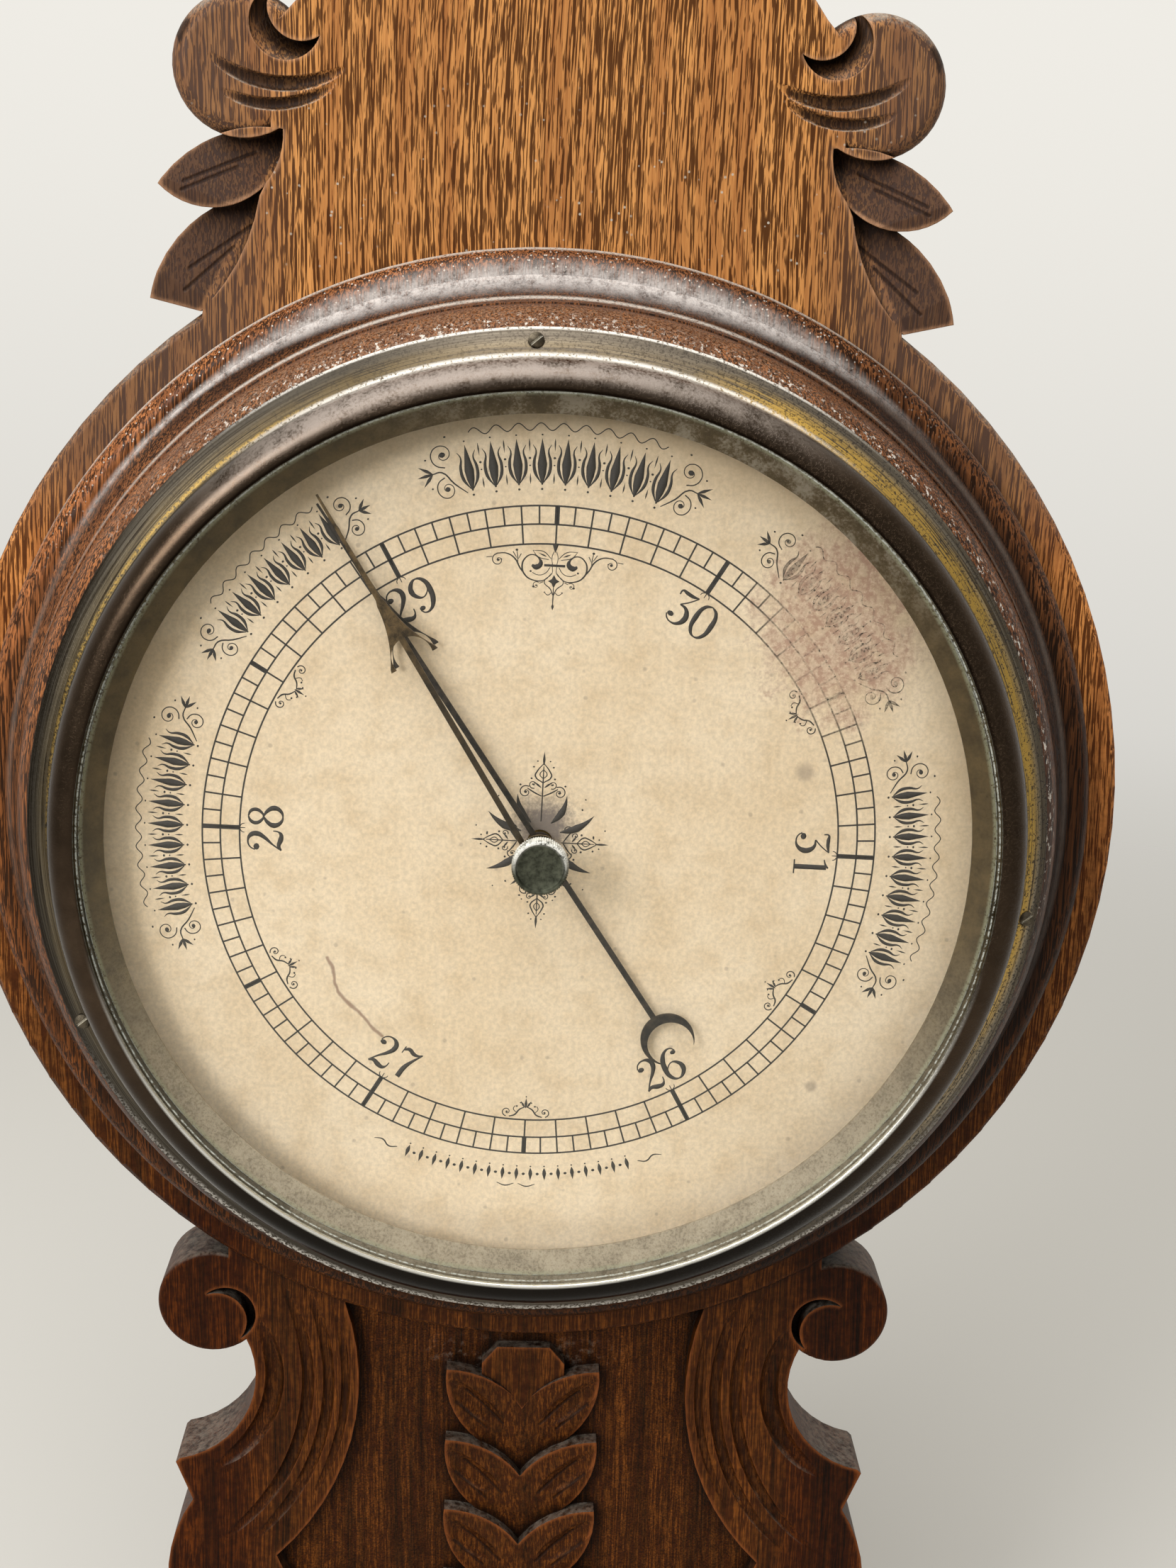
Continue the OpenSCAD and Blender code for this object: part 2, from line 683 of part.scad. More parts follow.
// A dished washer that keeps the set hand where it is put
washer_h = set_hand_h + hand_t + 0.6;
module spring_washer() color(brass) turned() polygon([
  [set_arbor_r + fit, washer_h], [5, glass_h - 0.5 - fit], [5, glass_h - fit], [set_arbor_r + fit, washer_h + 0.5]
]);

module therm_rect(gap, h, t) plate(h, t) translate([-therm_w / 2 + gap, therm_z - therm_len / 2 + gap])
  square([therm_w - 2 * gap, therm_len - 2 * gap]);
module thermometer_frame() color(oak_dark) difference() {
  union() {
    therm_rect(0, board_t, therm_t - 3);
    therm_rect(1.5, board_t, therm_t);
  }
  therm_rect(therm_side, board_t - 1, therm_t - therm_lip + 1);
  therm_rect(therm_side + therm_lip, board_t - 1, therm_t + 2);
  for (at = frame_screw_at) rod(at, board_t - 1, therm_t + 2, screw_r + fit);
}
module frame_screws() color(brass) for (at = frame_screw_at)
  round_screw(at, board_t + therm_t, therm_t + 8, screw_r, screw_head_r);
module thermometer_glass() color(clear)
  therm_rect(therm_side + inlay_gap, board_t + therm_t - therm_lip - therm_glass_t, therm_glass_t);
clip_z = [tube_z + tube_len * 0.25, tube_z + tube_len * 0.85];
module thermometer_scale() color(cream) difference() {
  therm_rect(therm_side + inlay_gap, board_t, scale_t);
  rod([0, tube_z], board_t - 1, scale_t + 2, bulb_r + 1);
}
module thermometer_tube() color(clear) difference() {
  facing(tube_h) {
    translate([0, tube_z, 0]) sphere(bulb_r);
    translate([0, tube_z, 0]) rotate([-90, 0, 0]) cylinder(h = tube_len, r = tube_r);
    translate([0, tube_z + tube_len, 0]) sphere(tube_r);
  }
  facing(tube_h) {
    translate([0, tube_z, 0]) sphere(bulb_r - 0.7);
    translate([0, tube_z, 0]) rotate([-90, 0, 0]) cylinder(h = tube_len, r = thread_r + 0.1);
  }
}
module mercury_thread() color(steel) facing(tube_h) {
  translate([0, tube_z, 0]) sphere(bulb_r - 0.8);
  translate([0, tube_z, 0]) rotate([-90, 0, 0]) cylinder(h = thread_len, r = thread_r);
}
// Brass straps bent over the tube, with a foot on each side
module tube_clips() color(brass) for (z = clip_z) facing() translate([0, z - 1.5, 0]) difference() {
  union() {
    translate([0, 0, tube_h]) rotate([-90, 0, 0]) cylinder(h = 3, r = tube_r + 0.6);
    translate([-tube_r - 3.6, 0, board_t + scale_t]) cube([2 * tube_r + 7.2, 3, 0.6]);
    translate([-tube_r - 0.6, 0, board_t + scale_t]) cube([2 * tube_r + 1.2, 3, tube_r + 0.1]);
  }
  translate([0, -1, tube_h]) rotate([-90, 0, 0]) cylinder(h = 5, r = tube_r + fit);
  translate([-tube_r - fit, -1, board_t]) cube([2 * tube_r + 2 * fit, 5, scale_t + tube_r + 0.1]);
}

module hanging_plate() color(brass) difference() {
  plate(0, eye_plate_t) hanging_outline();
  rod([0, eye_z], -1, eye_plate_t + 2, eye_d / 2);
  for (z = hanging_screw_z) {
    rod([0, z], -1, eye_plate_t + 2, 1.5 + fit);
    facing() translate([0, z, 0]) cylinder(h = 1.5, r1 = 3 + fit, r2 = 1.5 + fit);
  }
}
module hanging_screws() color(brass) for (z = hanging_screw_z) sunk_screw([0, z], 0, 15, 1.5, 3);

module back_cover() color(steel) difference() {
  rod([0, 0], 0, cover_t, cover_r);
  rod([0, adjuster_z], -1, cover_t + 2, 4.5);
  for (a = cover_screw_angles) {
    rod(clock(cover_screw_ring, a), -1, cover_t + 2, screw_r + fit);
    facing() translate(clock(cover_screw_ring, a)) cylinder(h = 0.8, r1 = screw_r + 0.8 + fit, r2 = screw_r + fit);
  }
}
module cover_screws() color(brass) for (a = cover_screw_angles)
  sunk_screw(clock(cover_screw_ring, a), 0, 9, screw_r, screw_r + 0.8);

module base_plate() color(brass) difference() {
  rod([0, 0], base_h, base_t, base_r);
  rod([0, 0], base_h - 1, base_t + 2, stud_r + fit);
  rod([0, adjuster_z], base_h - 1, base_t + 2, adjuster_r + fit);
  for (a = pillar_angles) rod(clock(pillar_ring, a), base_h - 1, base_t + 2, screw_r + fit);
}
module pillars() color(brass) for (a = pillar_angles) difference() {
  rod(clock(pillar_ring, a), base_top, plate_h - base_top, pillar_r);
  rod(clock(pillar_ring, a), base_top - 1, 9, screw_r + fit);
}
module pillar_screws() color(steel) for (a = pillar_angles) mirror([0, 1, 0])
  round_screw(clock(pillar_ring, a), -base_h, base_t + 7, screw_r, screw_head_r);

// The vacuum capsule: two corrugated diaphragms on a threaded stud
module capsule() color(brass) difference() {
  union() {
    turned() {
      translate([0, capsule_h + 1.2]) square([capsule_r, capsule_t - 2.4]);
      translate([0, capsule_h + capsule_t / 2 - 0.5]) square([capsule_r + 1.5, 1]);
      for (i = [1:4]) for (h = [capsule_h + 1.2, capsule_top - 1.2]) intersection() {
        translate([capsule_r * i / 4.6, h]) circle(1.2);
        translate([0, capsule_h]) square([capsule_r, capsule_t]);
      }
    }
    rod([0, 0], capsule_h - collar_t, collar_t + 2, 6);
    rod([0, 0], base_h - nut_t, base_t + nut_t + 2, stud_r);
    rod([0, 0], capsule_top - 3, 5, 5);
  }
  rod([0, 0], capsule_top - 2, 5, post_r + fit);
}
module capsule_nut() color(steel) difference() {
  facing(base_h - nut_t) cylinder(h = nut_t, r = 5.5, $fn = 6);
  rod([0, 0], base_h - nut_t - 1, nut_t + 2, stud_r + fit);
}
post_top = spring_top + 1.5;
module capsule_post() color(steel) {
  rod([0, 0], capsule_top - 1, post_top - capsule_top + 1, post_r);
  rod([0, 0], spring_top + 2 * fit, 1.4, post_r + 1.4);
}

// A stout bridge over the capsule's edge that carries the mainspring
module spring_bridge() color(brass) {
  facing(beam_h) translate([-leg_in - leg_w, clamp_z, 0]) cube([2 * (leg_in + leg_w), beam_w, beam_t]);
  both_sides() facing(base_top) translate([leg_in, clamp_z, 0]) cube([leg_w, beam_w, beam_h - base_top]);
  facing(beam_h) translate([-5, clamp_z + beam_w - 1, 0]) cube([10, tab_len + 1, 3]);
}
clamp_screw_x = 13;
clamp_screw_z = clamp_z + beam_w - 4;
clamp_top = spring_top + 2.4;
module spring_clamp() color(steel) difference() {
  facing(beam_top) translate([-18, clamp_z, 0]) cube([36, beam_w, clamp_top - beam_top]);
  facing(beam_top - 1) translate([-19, clamp_z - 1, 0])
    cube([38, spring_tail + 1.4, spring_top + 2 * fit - beam_top + 1]);
  both_sides() rod([clamp_screw_x, clamp_screw_z], beam_top - 1, 9, screw_r + fit);
}
module clamp_screws() color(steel) both_sides()
  round_screw([clamp_screw_x, clamp_screw_z], clamp_top, clamp_top - beam_top, screw_r, screw_head_r);
module adjusting_screw() color(steel) difference() {
  union() {
    rod([0, adjuster_z], base_h - 2, beam_h - 0.3 - base_h + 2, adjuster_r);
    rod([0, adjuster_z], base_h - 2, 1.8, 3.5);
  }
  facing(base_h - 3) translate([-4, adjuster_z - 0.5, 0]) cube([8, 1, 1.8]);
}
module mainspring() color(steel) difference() {
  plate(spring_h, spring_t) polygon([
    [-17, clamp_z + spring_tail], [17, clamp_z + spring_tail], [17, clamp_z - 4], [10, -spring_tip],
    [-10, -spring_tip], [-17, clamp_z - 4]
  ]);
  rod([0, 0], spring_h - 1, spring_t + 2, post_r + 0.3);
}
module main_lever() color(steel) difference() {
  union() {
    plate(spring_top, lever_t) translate([lever_x - lever_w / 2, link_z]) square([lever_w, 12 - link_z]);
    cross_bar(lever_x - lever_w / 2, link_z, lever_eye_h, lever_w, 2);
  }
  cross_bar(lever_x - lever_w, link_z, lever_eye_h, 2 * lever_w, pin_r + fit);
}
module connecting_link() color(steel) {
  side_plate(link_x, link_t) {
    translate([link_z - 1.2, shaft_h]) square([2.4, lever_eye_h - shaft_h]);
    translate([link_z, shaft_h]) circle(1.8);
    translate([link_z, lever_eye_h]) circle(1.8);
  }
  for (h = [shaft_h, lever_eye_h]) cross_bar(lever_x - lever_w / 2, link_z, h, link_x - lever_x + lever_w / 2 + 0.2, pin_r);
}
module rocking_shaft() color(steel) difference() {
  union() {
    cross_bar(-shaft_half, -shaft_drop, shaft_h, 2 * shaft_half, shaft_r);
    cross_bar(-shaft_half - 3, -shaft_drop, shaft_h, 2 * shaft_half + 6, pin_r);
    side_plate(lever_x - lever_w / 2, lever_w) {
      translate([link_z, shaft_h]) circle(2.2);
      translate([link_z, shaft_h - 1.4]) square([short_arm, 2.8]);
      translate([-shaft_drop, shaft_h]) circle(2.8);
    }
    side_plate(arm_x, arm_t) {
      translate([-shaft_drop, shaft_h]) circle(2.8);
      polygon([
        [-shaft_drop - 1.6, shaft_h], [-shaft_drop + 1.6, shaft_h], [-shaft_drop + 0.9, chain_h],
        [-shaft_drop - 0.9, chain_h]
      ]);
      translate([-shaft_drop, chain_h]) circle(0.9);
    }
    cross_bar(arm_x, -shaft_drop, chain_h, wind_r + chain_t - arm_x, 0.5);
  }
  cross_bar(lever_x - lever_w, link_z, shaft_h, 2 * lever_w, pin_r + 0.3);
}
ear_t = 2;
module shaft_bracket() color(brass) difference() {
  union() {
    facing(base_top) translate([-shaft_half - ear_t - 0.3, -shaft_drop - 3, 0])
      cube([2 * (shaft_half + ear_t + 0.3), 6, 1.5]);
    both_sides() side_plate(shaft_half + 0.3, ear_t) {
      translate([-shaft_drop - 3, base_top]) square([6, shaft_h - base_top]);
      translate([-shaft_drop, shaft_h]) circle(3);
    }
  }
  cross_bar(-shaft_half - 9, -shaft_drop, shaft_h, 2 * shaft_half + 18, pin_r + fit);
}
// The chain from the rocking shaft's long arm to the drum, link by link
chain_pitch = (chain_end_z + shaft_drop) / chain_links;
module chain() color(steel) {
  for (i = [0:chain_links - 1]) {
    z = i * chain_pitch - shaft_drop;
    side_plate(wind_r - (i % 2 == 0 ? chain_t / 2 : 0), chain_t / 2) difference() {
      union() {
        for (end = [0, chain_pitch]) translate([z + end, chain_h]) circle(chain_link_r);
        translate([z, chain_h - chain_link_r * 0.6]) square([chain_pitch, chain_link_r * 1.2]);
        if (i == 0) translate([z, chain_h]) circle(2);
      }
      if (i == 0) translate([z, chain_h]) circle(1.3);
    }
    if (i > 0) cross_bar(wind_r - chain_t / 2, z, chain_h, chain_t, 0.3);
  }
}

module bridge_posts() color(brass) for (x = [-post_x, post_x])
  rod([x, 0], base_top, bridge_h - base_top, pillar_r);
module arbor_bridge() color(brass) difference() {
  plate(bridge_h, bridge_t) {
    translate([-post_x, -bridge_w / 2]) square([2 * post_x, bridge_w]);
    for (x = [-post_x, post_x]) translate([x, 0]) circle(bridge_w / 2);
  }
  rod([0, 0], bridge_h - 1, bridge_t + 2, pin_r + fit);
}
module cock_pillars() color(brass) for (x = [-cock_pillar_x, cock_pillar_x])
  rod([x, 0], bridge_top, cock_h - bridge_top, 2);
module arbor_cock() color(brass) difference() {
  plate(cock_h, cock_t) {
    translate([-cock_pillar_x, -3.5]) square([2 * cock_pillar_x, 7]);
    for (x = [-cock_pillar_x, cock_pillar_x]) translate([x, 0]) circle(3.5);
    circle(5);
  }
  rod([0, 0], cock_h - 1, cock_t + 2, arbor_top_r + fit);
}
module pointer_arbor() color(steel) {
  rod([0, 0], bridge_h + 0.2, bridge_t, pin_r);
  rod([0, 0], bridge_top + 0.2, cock_h - bridge_top - 0.4, arbor_r);
  rod([0, 0], cock_h - 0.2, pointer_h + hand_t + 1 - cock_h + 0.2, arbor_top_r);
}
module chain_drum() color(brass) difference() {
  union() {
    rod([0, 0], drum_h, drum_t, drum_r);
    rod([0, 0], hair_h, drum_h + 0.6 - hair_h, hair_r[0] - 0.4);
    for (h = [drum_h, drum_h + drum_t - 0.6]) rod([0, 0], h, 0.6, wind_r + 0.8);
  }
  rod([0, 0], hair_h - 1, drum_t + 6, arbor_r + 0.02);
}
// The flat hairspring, wound as half turns about two centres
hair_step = (hair_r[1] - hair_r[0]) / (2 * hair_turns);
module half_turn(r, side) intersection() {
  difference() {
    circle(r + hair_t);
    circle(r);
  }
  translate([-2 * r, side > 0 ? 0 : -2 * r]) square([4 * r, 2 * r]);
}
module hairspring() color(steel) plate(hair_h, hair_w) for (i = [0:2 * hair_turns - 1])
  translate([i % 2 == 0 ? 0 : -hair_step, 0]) half_turn(hair_r[0] + i * hair_step, i % 2 == 0 ? 1 : -1);
stud_x = hair_r[0] + (2 * hair_turns - 2) * hair_step;
module hairspring_stud() color(brass) rod([stud_x + hair_t + 0.9 + fit, 0], bridge_top, hair_w + 2, 0.9);

hung() case_board();
hung() dial_surround();
hung() bezel();
hung() bezel_screws();
hung() dial_glass();
hung() sight_ring();
hung() dial_card();
hung() dial_plate();
hung() dial_screws();
hung() pointer();
hung() set_hand();
hung() set_arbor();
hung() set_knob();
hung() spring_washer();
hung() thermometer_frame();
hung() thermometer_glass();
hung() thermometer_scale();
hung() thermometer_tube();
hung() mercury_thread();
hung() tube_clips();
hung() frame_screws();
hung() hanging_plate();
hung() hanging_screws();
hung() back_cover();
hung() cover_screws();
hung() base_plate();
hung() pillars();
hung() pillar_screws();
hung() capsule();
hung() capsule_nut();
hung() capsule_post();
hung() spring_bridge();
hung() spring_clamp();
hung() clamp_screws();
hung() adjusting_screw();
hung() mainspring();
hung() main_lever();
hung() connecting_link();
hung() rocking_shaft();
hung() shaft_bracket();
hung() chain();
hung() bridge_posts();
hung() arbor_bridge();
hung() cock_pillars();
hung() arbor_cock();
hung() pointer_arbor();
hung() chain_drum();
hung() hairspring();
hung() hairspring_stud();
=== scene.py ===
"""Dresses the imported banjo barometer: finishes for its solids, the dial's print, a knob and a stage."""

from functools import reduce
import math

import bpy
from bpy.props import FloatProperty, FloatVectorProperty, IntProperty, PointerProperty
from mathutils import Matrix, Vector


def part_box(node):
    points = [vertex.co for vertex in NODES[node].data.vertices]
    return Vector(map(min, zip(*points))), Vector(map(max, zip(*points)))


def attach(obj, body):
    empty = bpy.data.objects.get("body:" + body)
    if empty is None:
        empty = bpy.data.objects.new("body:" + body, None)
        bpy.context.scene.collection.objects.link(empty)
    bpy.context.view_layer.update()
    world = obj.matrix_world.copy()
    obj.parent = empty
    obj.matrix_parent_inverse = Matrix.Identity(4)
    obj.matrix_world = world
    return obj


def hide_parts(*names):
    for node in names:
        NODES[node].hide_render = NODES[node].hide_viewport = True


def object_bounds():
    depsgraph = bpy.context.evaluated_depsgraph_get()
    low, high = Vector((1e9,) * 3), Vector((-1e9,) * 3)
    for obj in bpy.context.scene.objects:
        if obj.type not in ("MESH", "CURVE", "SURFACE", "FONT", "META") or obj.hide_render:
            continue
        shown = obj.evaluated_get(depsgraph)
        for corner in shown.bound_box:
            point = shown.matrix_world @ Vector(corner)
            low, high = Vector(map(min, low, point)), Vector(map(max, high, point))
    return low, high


bl_info = {
    "name": "Banjo barometer",
    "version": (1, 0, 0),
    "blender": (4, 5, 0),
    "location": "View3D > Sidebar > Barometer",
    "description": "Finishes, dial print and stage for a carved oak banjo barometer",
    "category": "Object",
}

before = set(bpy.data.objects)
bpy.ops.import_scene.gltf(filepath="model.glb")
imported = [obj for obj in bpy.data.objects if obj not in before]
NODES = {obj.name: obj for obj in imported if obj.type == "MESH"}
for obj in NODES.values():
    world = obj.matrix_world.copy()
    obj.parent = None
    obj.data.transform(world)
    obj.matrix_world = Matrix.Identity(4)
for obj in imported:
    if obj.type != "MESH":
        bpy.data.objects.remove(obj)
CAD_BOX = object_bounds()
MM = 0.001
RAYS = 6
WELD = 0.002 * MM
CARD_LOW, CARD_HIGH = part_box("dial_card")
DIAL = Vector(((CARD_LOW.x + CARD_HIGH.x) / 2, CARD_LOW.y, (CARD_LOW.z + CARD_HIGH.z) / 2))


def tone(red, green, blue):
    """A colour as it shows on screen, 0 to 255 each, as the linear colour that a shader takes."""
    return tuple((part / 255 / 12.92) if part < 10 else ((part / 255 + 0.055) / 1.055) ** 2.4
                 for part in (red, green, blue))


# Settings


def colour(name, description, default):
    """A colour that the user may change."""
    return FloatVectorProperty(name=name, description=description, default=default,
                               subtype="COLOR", size=3, min=0, max=1)


def length(name, description, default):
    """A length in metres that the user may change."""
    return FloatProperty(name=name, description=description, default=default, unit="LENGTH", min=0)


class CaseSettings(bpy.types.PropertyGroup):
    """Colours of the oak case."""

    light: colour("Light oak", "Golden tone of the neck", tone(194, 135, 76))
    dark: colour("Dark oak", "Brown of the neck's late wood", tone(144, 91, 48))
    aged_light: colour("Aged light oak", "Light tone of the carved apron", tone(100, 55, 17))
    aged_dark: colour("Aged dark oak", "Dark tone of the carved apron", tone(25, 11, 2))
    pore: colour("Pores", "Colour in the open pores", tone(54, 24, 5))
    dust: colour("Dust", "Dust that lies on ledges", tone(172, 162, 148))


class DialSettings(bpy.types.PropertyGroup):
    """Sizes and colours of the dial and its print."""

    card: colour("Card", "Cream of the card", tone(238, 219, 189))
    ink: colour("Ink", "Black of the print", tone(44, 42, 40))
    tilt: FloatProperty(name="Tilt", description="Turn of the card in the case, clockwise",
                        default=math.radians(1.3), subtype="ANGLE")
    rings: FloatVectorProperty(name="Rings", description="Radii of the scale's three circles",
                               default=(0.0703, 0.0748, 0.079), unit="LENGTH", size=3)
    fine: length("Fine line", "Width of the scale's fine lines", 0.0004)
    heavy: length("Heavy line", "Width of the scale's heavy marks", 0.0011)
    marks: IntProperty(name="Marks", description="Fine marks round the outer band", default=120, min=12)
    number_height: length("Number height", "Height of the scale's numbers", 0.0084)
    number_radius: length("Number radius", "Distance of the numbers from the centre", 0.0643)


class StageSettings(bpy.types.PropertyGroup):
    """The camera, the light and the plain ground."""

    place: FloatVectorProperty(name="Camera place", description="Where the camera stands", size=3,
                               default=(-0.00504, -0.53958, -0.38002), unit="LENGTH")
    turn: FloatVectorProperty(name="Camera turn", description="Which way the camera looks", size=3,
                              default=(1.321243, -0.033977, -0.023796), subtype="EULER")
    lens: FloatProperty(name="Lens", description="Focal length of the camera", default=49.63,
                        subtype="DISTANCE_CAMERA")
    key_power: FloatProperty(name="Key light", description="Power of the lamp at the upper left", default=15,
                             unit="POWER")
    top_power: FloatProperty(name="Top light", description="Power of the large lamp above", default=18,
                             unit="POWER")
    wall: colour("Wall", "Pale colour behind the object", tone(240, 237, 230))
    ground: colour("Ground", "Pale colour of the floor", tone(190, 188, 183))


# Shader nodes


def operator(operation, turned=False):
    """A method of Value that adds a Math node, with its two inputs turned round if asked."""
    def method(self, other=0.0):
        first, second = (other, self) if turned else (self, other)
        return self.finish.node("Math", {"operation": operation}, {0: first, 1: second})
    return method


class Value:
    """A socket of a finish. Arithmetic on it adds Math nodes."""

    def __init__(self, finish, socket):
        self.finish = finish
        self.socket = socket

    __add__ = __radd__ = operator("ADD")
    __mul__ = __rmul__ = operator("MULTIPLY")
    __sub__ = operator("SUBTRACT")
    __rsub__ = operator("SUBTRACT", turned=True)
    __truediv__ = operator("DIVIDE")
    __mod__ = operator("FLOORED_MODULO")
    __pow__ = operator("POWER")
    __abs__ = operator("ABSOLUTE")
    least = operator("MINIMUM")
    most = operator("MAXIMUM")

    def rise(self, start, end):
        """Goes smoothly from 0 at start to 1 at end, whichever of them is larger."""
        return self.finish.node("MapRange", {"interpolation_type": "SMOOTHSTEP"}, {0: self, 1: start, 2: end})

    def bell(self, centre, half):
        """1 at the centre, falling smoothly to 0 at half on either side."""
        return abs(self - centre).rise(half, 0.0)

    def toward(self, colour, share, blend="MIX"):
        """This colour mixed with another by a share."""
        return self.finish.mix(share, self, colour, blend)

    def shade(self, value):
        """This colour made darker or lighter by a value."""
        grey = self.finish.node("CombineColor", None, {0: value, 1: value, 2: value})
        return self.toward(grey, 1.0, "MULTIPLY")


class Finish:
    """A material, or the world, made node by node."""

    def __init__(self, name, owner=None):
        self.owner = owner or bpy.data.materials.new(name)
        self.owner.use_nodes = True
        self.tree = self.owner.node_tree
        self.tree.nodes.clear()
        self.spot = None

    def node(self, kind, settings=None, values=None, out=0):
        """Adds a node: its settings first, then the values or links of its sockets."""
        made = self.tree.nodes.new("ShaderNode" + kind)
        for key, value in (settings or {}).items():
            setattr(made, key, value)
        for key, value in (values or {}).items():
            if isinstance(value, Value):
                self.tree.links.new(value.socket, made.inputs[key])
            else:
                made.inputs[key].default_value = value
        return Value(self, made.outputs[out]) if made.outputs else None

    def parts(self, vector):
        """The three parts of a vector."""
        first = self.node("SeparateXYZ", None, {0: vector})
        return [Value(self, socket) for socket in first.socket.node.outputs]

    def place(self):
        """Millimetres right of the dial's axis, above the wall, and above the dial's centre."""
        if self.spot is None:
            x, y, z = self.parts(self.node("TexCoord", out="Object"))
            self.spot = (x - DIAL.x) / MM, y / -MM, (z - DIAL.z) / MM
        return self.spot

    def facing(self):
        """The surface's own direction: right, to the back, and up."""
        return self.parts(self.node("TexCoord", out="Normal"))

    def vector(self, x, y, z):
        """Three values as one vector."""
        return self.node("CombineXYZ", None, {0: x, 1: y, 2: z})

    def noise(self, x, y, z, detail=2.0, rough=0.5):
        """Soft noise from 0 to 1 over three values."""
        return self.node("TexNoise", None, {"Vector": self.vector(x, y, z), "Scale": 1.0,
                                            "Detail": detail, "Roughness": rough})

    def grain(self, across, along, detail=2.0, rough=0.5, place=None):
        """Soft noise with one scale per millimetre across and another one upwards."""
        x, h, z = place or self.place()
        return self.noise(x * across, h * across, z * along, detail, rough)

    def mottle(self, scale, detail=2.0, rough=0.5):
        """Soft noise with the same scale per millimetre every way."""
        return self.grain(scale, scale, detail, rough)

    def cells(self, x, y, z):
        """Distance to the nearest of scattered points over three values."""
        return self.node("TexVoronoi", None, {"Vector": self.vector(x, y, z), "Scale": 1.0})

    def mix(self, factor, first, second, blend="MIX"):
        """A mix of two colours."""
        ends = [end if isinstance(end, Value) else (*end, 1.0)[:4] for end in (first, second)]
        return self.node("Mix", {"data_type": "RGBA", "blend_type": blend},
                         {0: factor, 6: ends[0], 7: ends[1]}, out=2)

    def hollow(self, reach, inside=False):
        """1 in narrow hollows, or with inside on sharp edges, within a reach in millimetres."""
        open_share = self.node("AmbientOcclusion", {"inside": inside, "only_local": True, "samples": RAYS},
                               {"Distance": reach * MM}, out="AO")
        return 1 - open_share

    def reach(self, x, z, centre=(0, 0)):
        """Distance in millimetres from a point of the front."""
        across, down = x - centre[0], z - centre[1]
        return (across * across + down * down) ** 0.5

    def seam(self, x, z, start, end):
        """Distance in millimetres from a straight line between two points of the front."""
        run, climb = end[0] - start[0], end[1] - start[1]
        size = run * run + climb * climb
        along = self.node("Clamp", None, {0: ((x - start[0]) * run + (z - start[1]) * climb) / size})
        return self.reach(x - along * run, z - along * climb, start)

    def seams(self, x, z, lines):
        """Distance in millimetres from the nearest of several such lines."""
        return reduce(Value.least, [self.seam(x, z, start, end) for start, end in lines])

    def bump(self, height, distance, strength, normal=None):
        """A normal from a height, with its depth in millimetres."""
        values = {"Strength": strength, "Distance": distance * MM, "Height": height}
        if normal is not None:
            values["Normal"] = normal
        return self.node("Bump", None, values)

    def softened(self, radius):
        """The surface's direction with its edges eased by a radius in millimetres."""
        return self.node("Bevel", {"samples": RAYS}, {"Radius": radius * MM})

    def done(self, **sockets):
        """Ends the material in one Principled shader. Socket names use _ for a space."""
        shader = self.node("BsdfPrincipled", None,
                           {key.replace("_", " "): value for key, value in sockets.items()})
        self.node("OutputMaterial", None, {"Surface": shader})
        return self.owner


def dress(material, *names):
    """Puts a material on CAD nodes."""
    for name in names:
        piece = NODES[name]
        if not piece.material_slots:
            piece.data.materials.append(material)
        for slot in piece.material_slots:
            slot.material = material


# Oak, with places in millimetres from the dial's centre, alike on the left and the right

GOUGES = (((65, 195.3), 25.7), ((64, 188.2), 23.1))
HOOK_EYE, HOOK_RADIUS = (62.7, 183), 8.5
LEAF_EYE, LEAF_RADIUS = (72.6, 173.7), 16
LEAF_VEINS = (((70, 154.5), (86, 147.5)), ((74, 151), (86.5, 145.5)),
              ((71, 138), (85, 128)), ((75, 133), (86, 123)))
HUSK_VEINS = (((15, 14), (5, 4)), ((17.5, 10.5), (9.5, 2.5)))
HUSK_PITCH, HUSK_TOP, HUSK_END = 21, -158, -236


def oak(finish, light, dark, pore):
    """Oak with its fibre upright: its colour and the height of its grain."""
    x, h, z = finish.place()
    across = x + (finish.grain(0.012, 0.006, 1.0) - 0.5) * 14
    bent = across, h, z
    rings = finish.grain(0.13, 0.004, 2.0, 0.6, bent)
    fibre = finish.grain(1.5, 0.03, 4.0, 0.65, bent)
    open_wood = rings.rise(0.35, 0.62) * 0.07
    long_pores = finish.grain(2.1, 0.075, 1.0, place=bent) + open_wood
    short_pores = finish.noise(across * 2.9 + 40, h * 2.9, z * 0.2, 1.0) + open_wood * 0.6
    pores = long_pores.rise(0.56, 0.61).most(short_pores.rise(0.57, 0.64) * 0.9)
    wood = finish.mix((rings * 0.5 + fibre * 0.5).rise(0.34, 0.62), dark, light)
    wood = wood.shade(finish.grain(0.02, 0.015) * 0.3 + 0.85)
    return wood.toward(pore, pores * 0.92), fibre * 0.25 - pores


def gouged(finish, side, h, z):
    """1 in the gouged grooves and in the hook of the volutes above the round."""
    lines = [abs(finish.reach(side, z, centre) - radius) for centre, radius in GOUGES]
    grooves = lines[0].least(lines[1]).rise(2.3, 1.8) * h.rise(21.85, 21.2) * z.rise(184, 182)
    hook = finish.reach(side, z, HOOK_EYE).rise(HOOK_RADIUS, HOOK_RADIUS - 0.4) * h.rise(21.6, 19.5)
    return grooves.most(hook) * z.rise(60, 90) * h.rise(10, 12)


def veined(finish, side, z):
    """1 along the cut veins of the leaves above the round and of the husks below it."""
    husks = finish.seams(side, (z + 155.5) % HUSK_PITCH, HUSK_VEINS)
    outside = z.rise(HUSK_TOP - 2, HUSK_TOP) + z.rise(HUSK_END + 2, HUSK_END)
    return finish.seams(side, z, LEAF_VEINS).least(husks + 9 * outside).rise(0.65, 0.1)


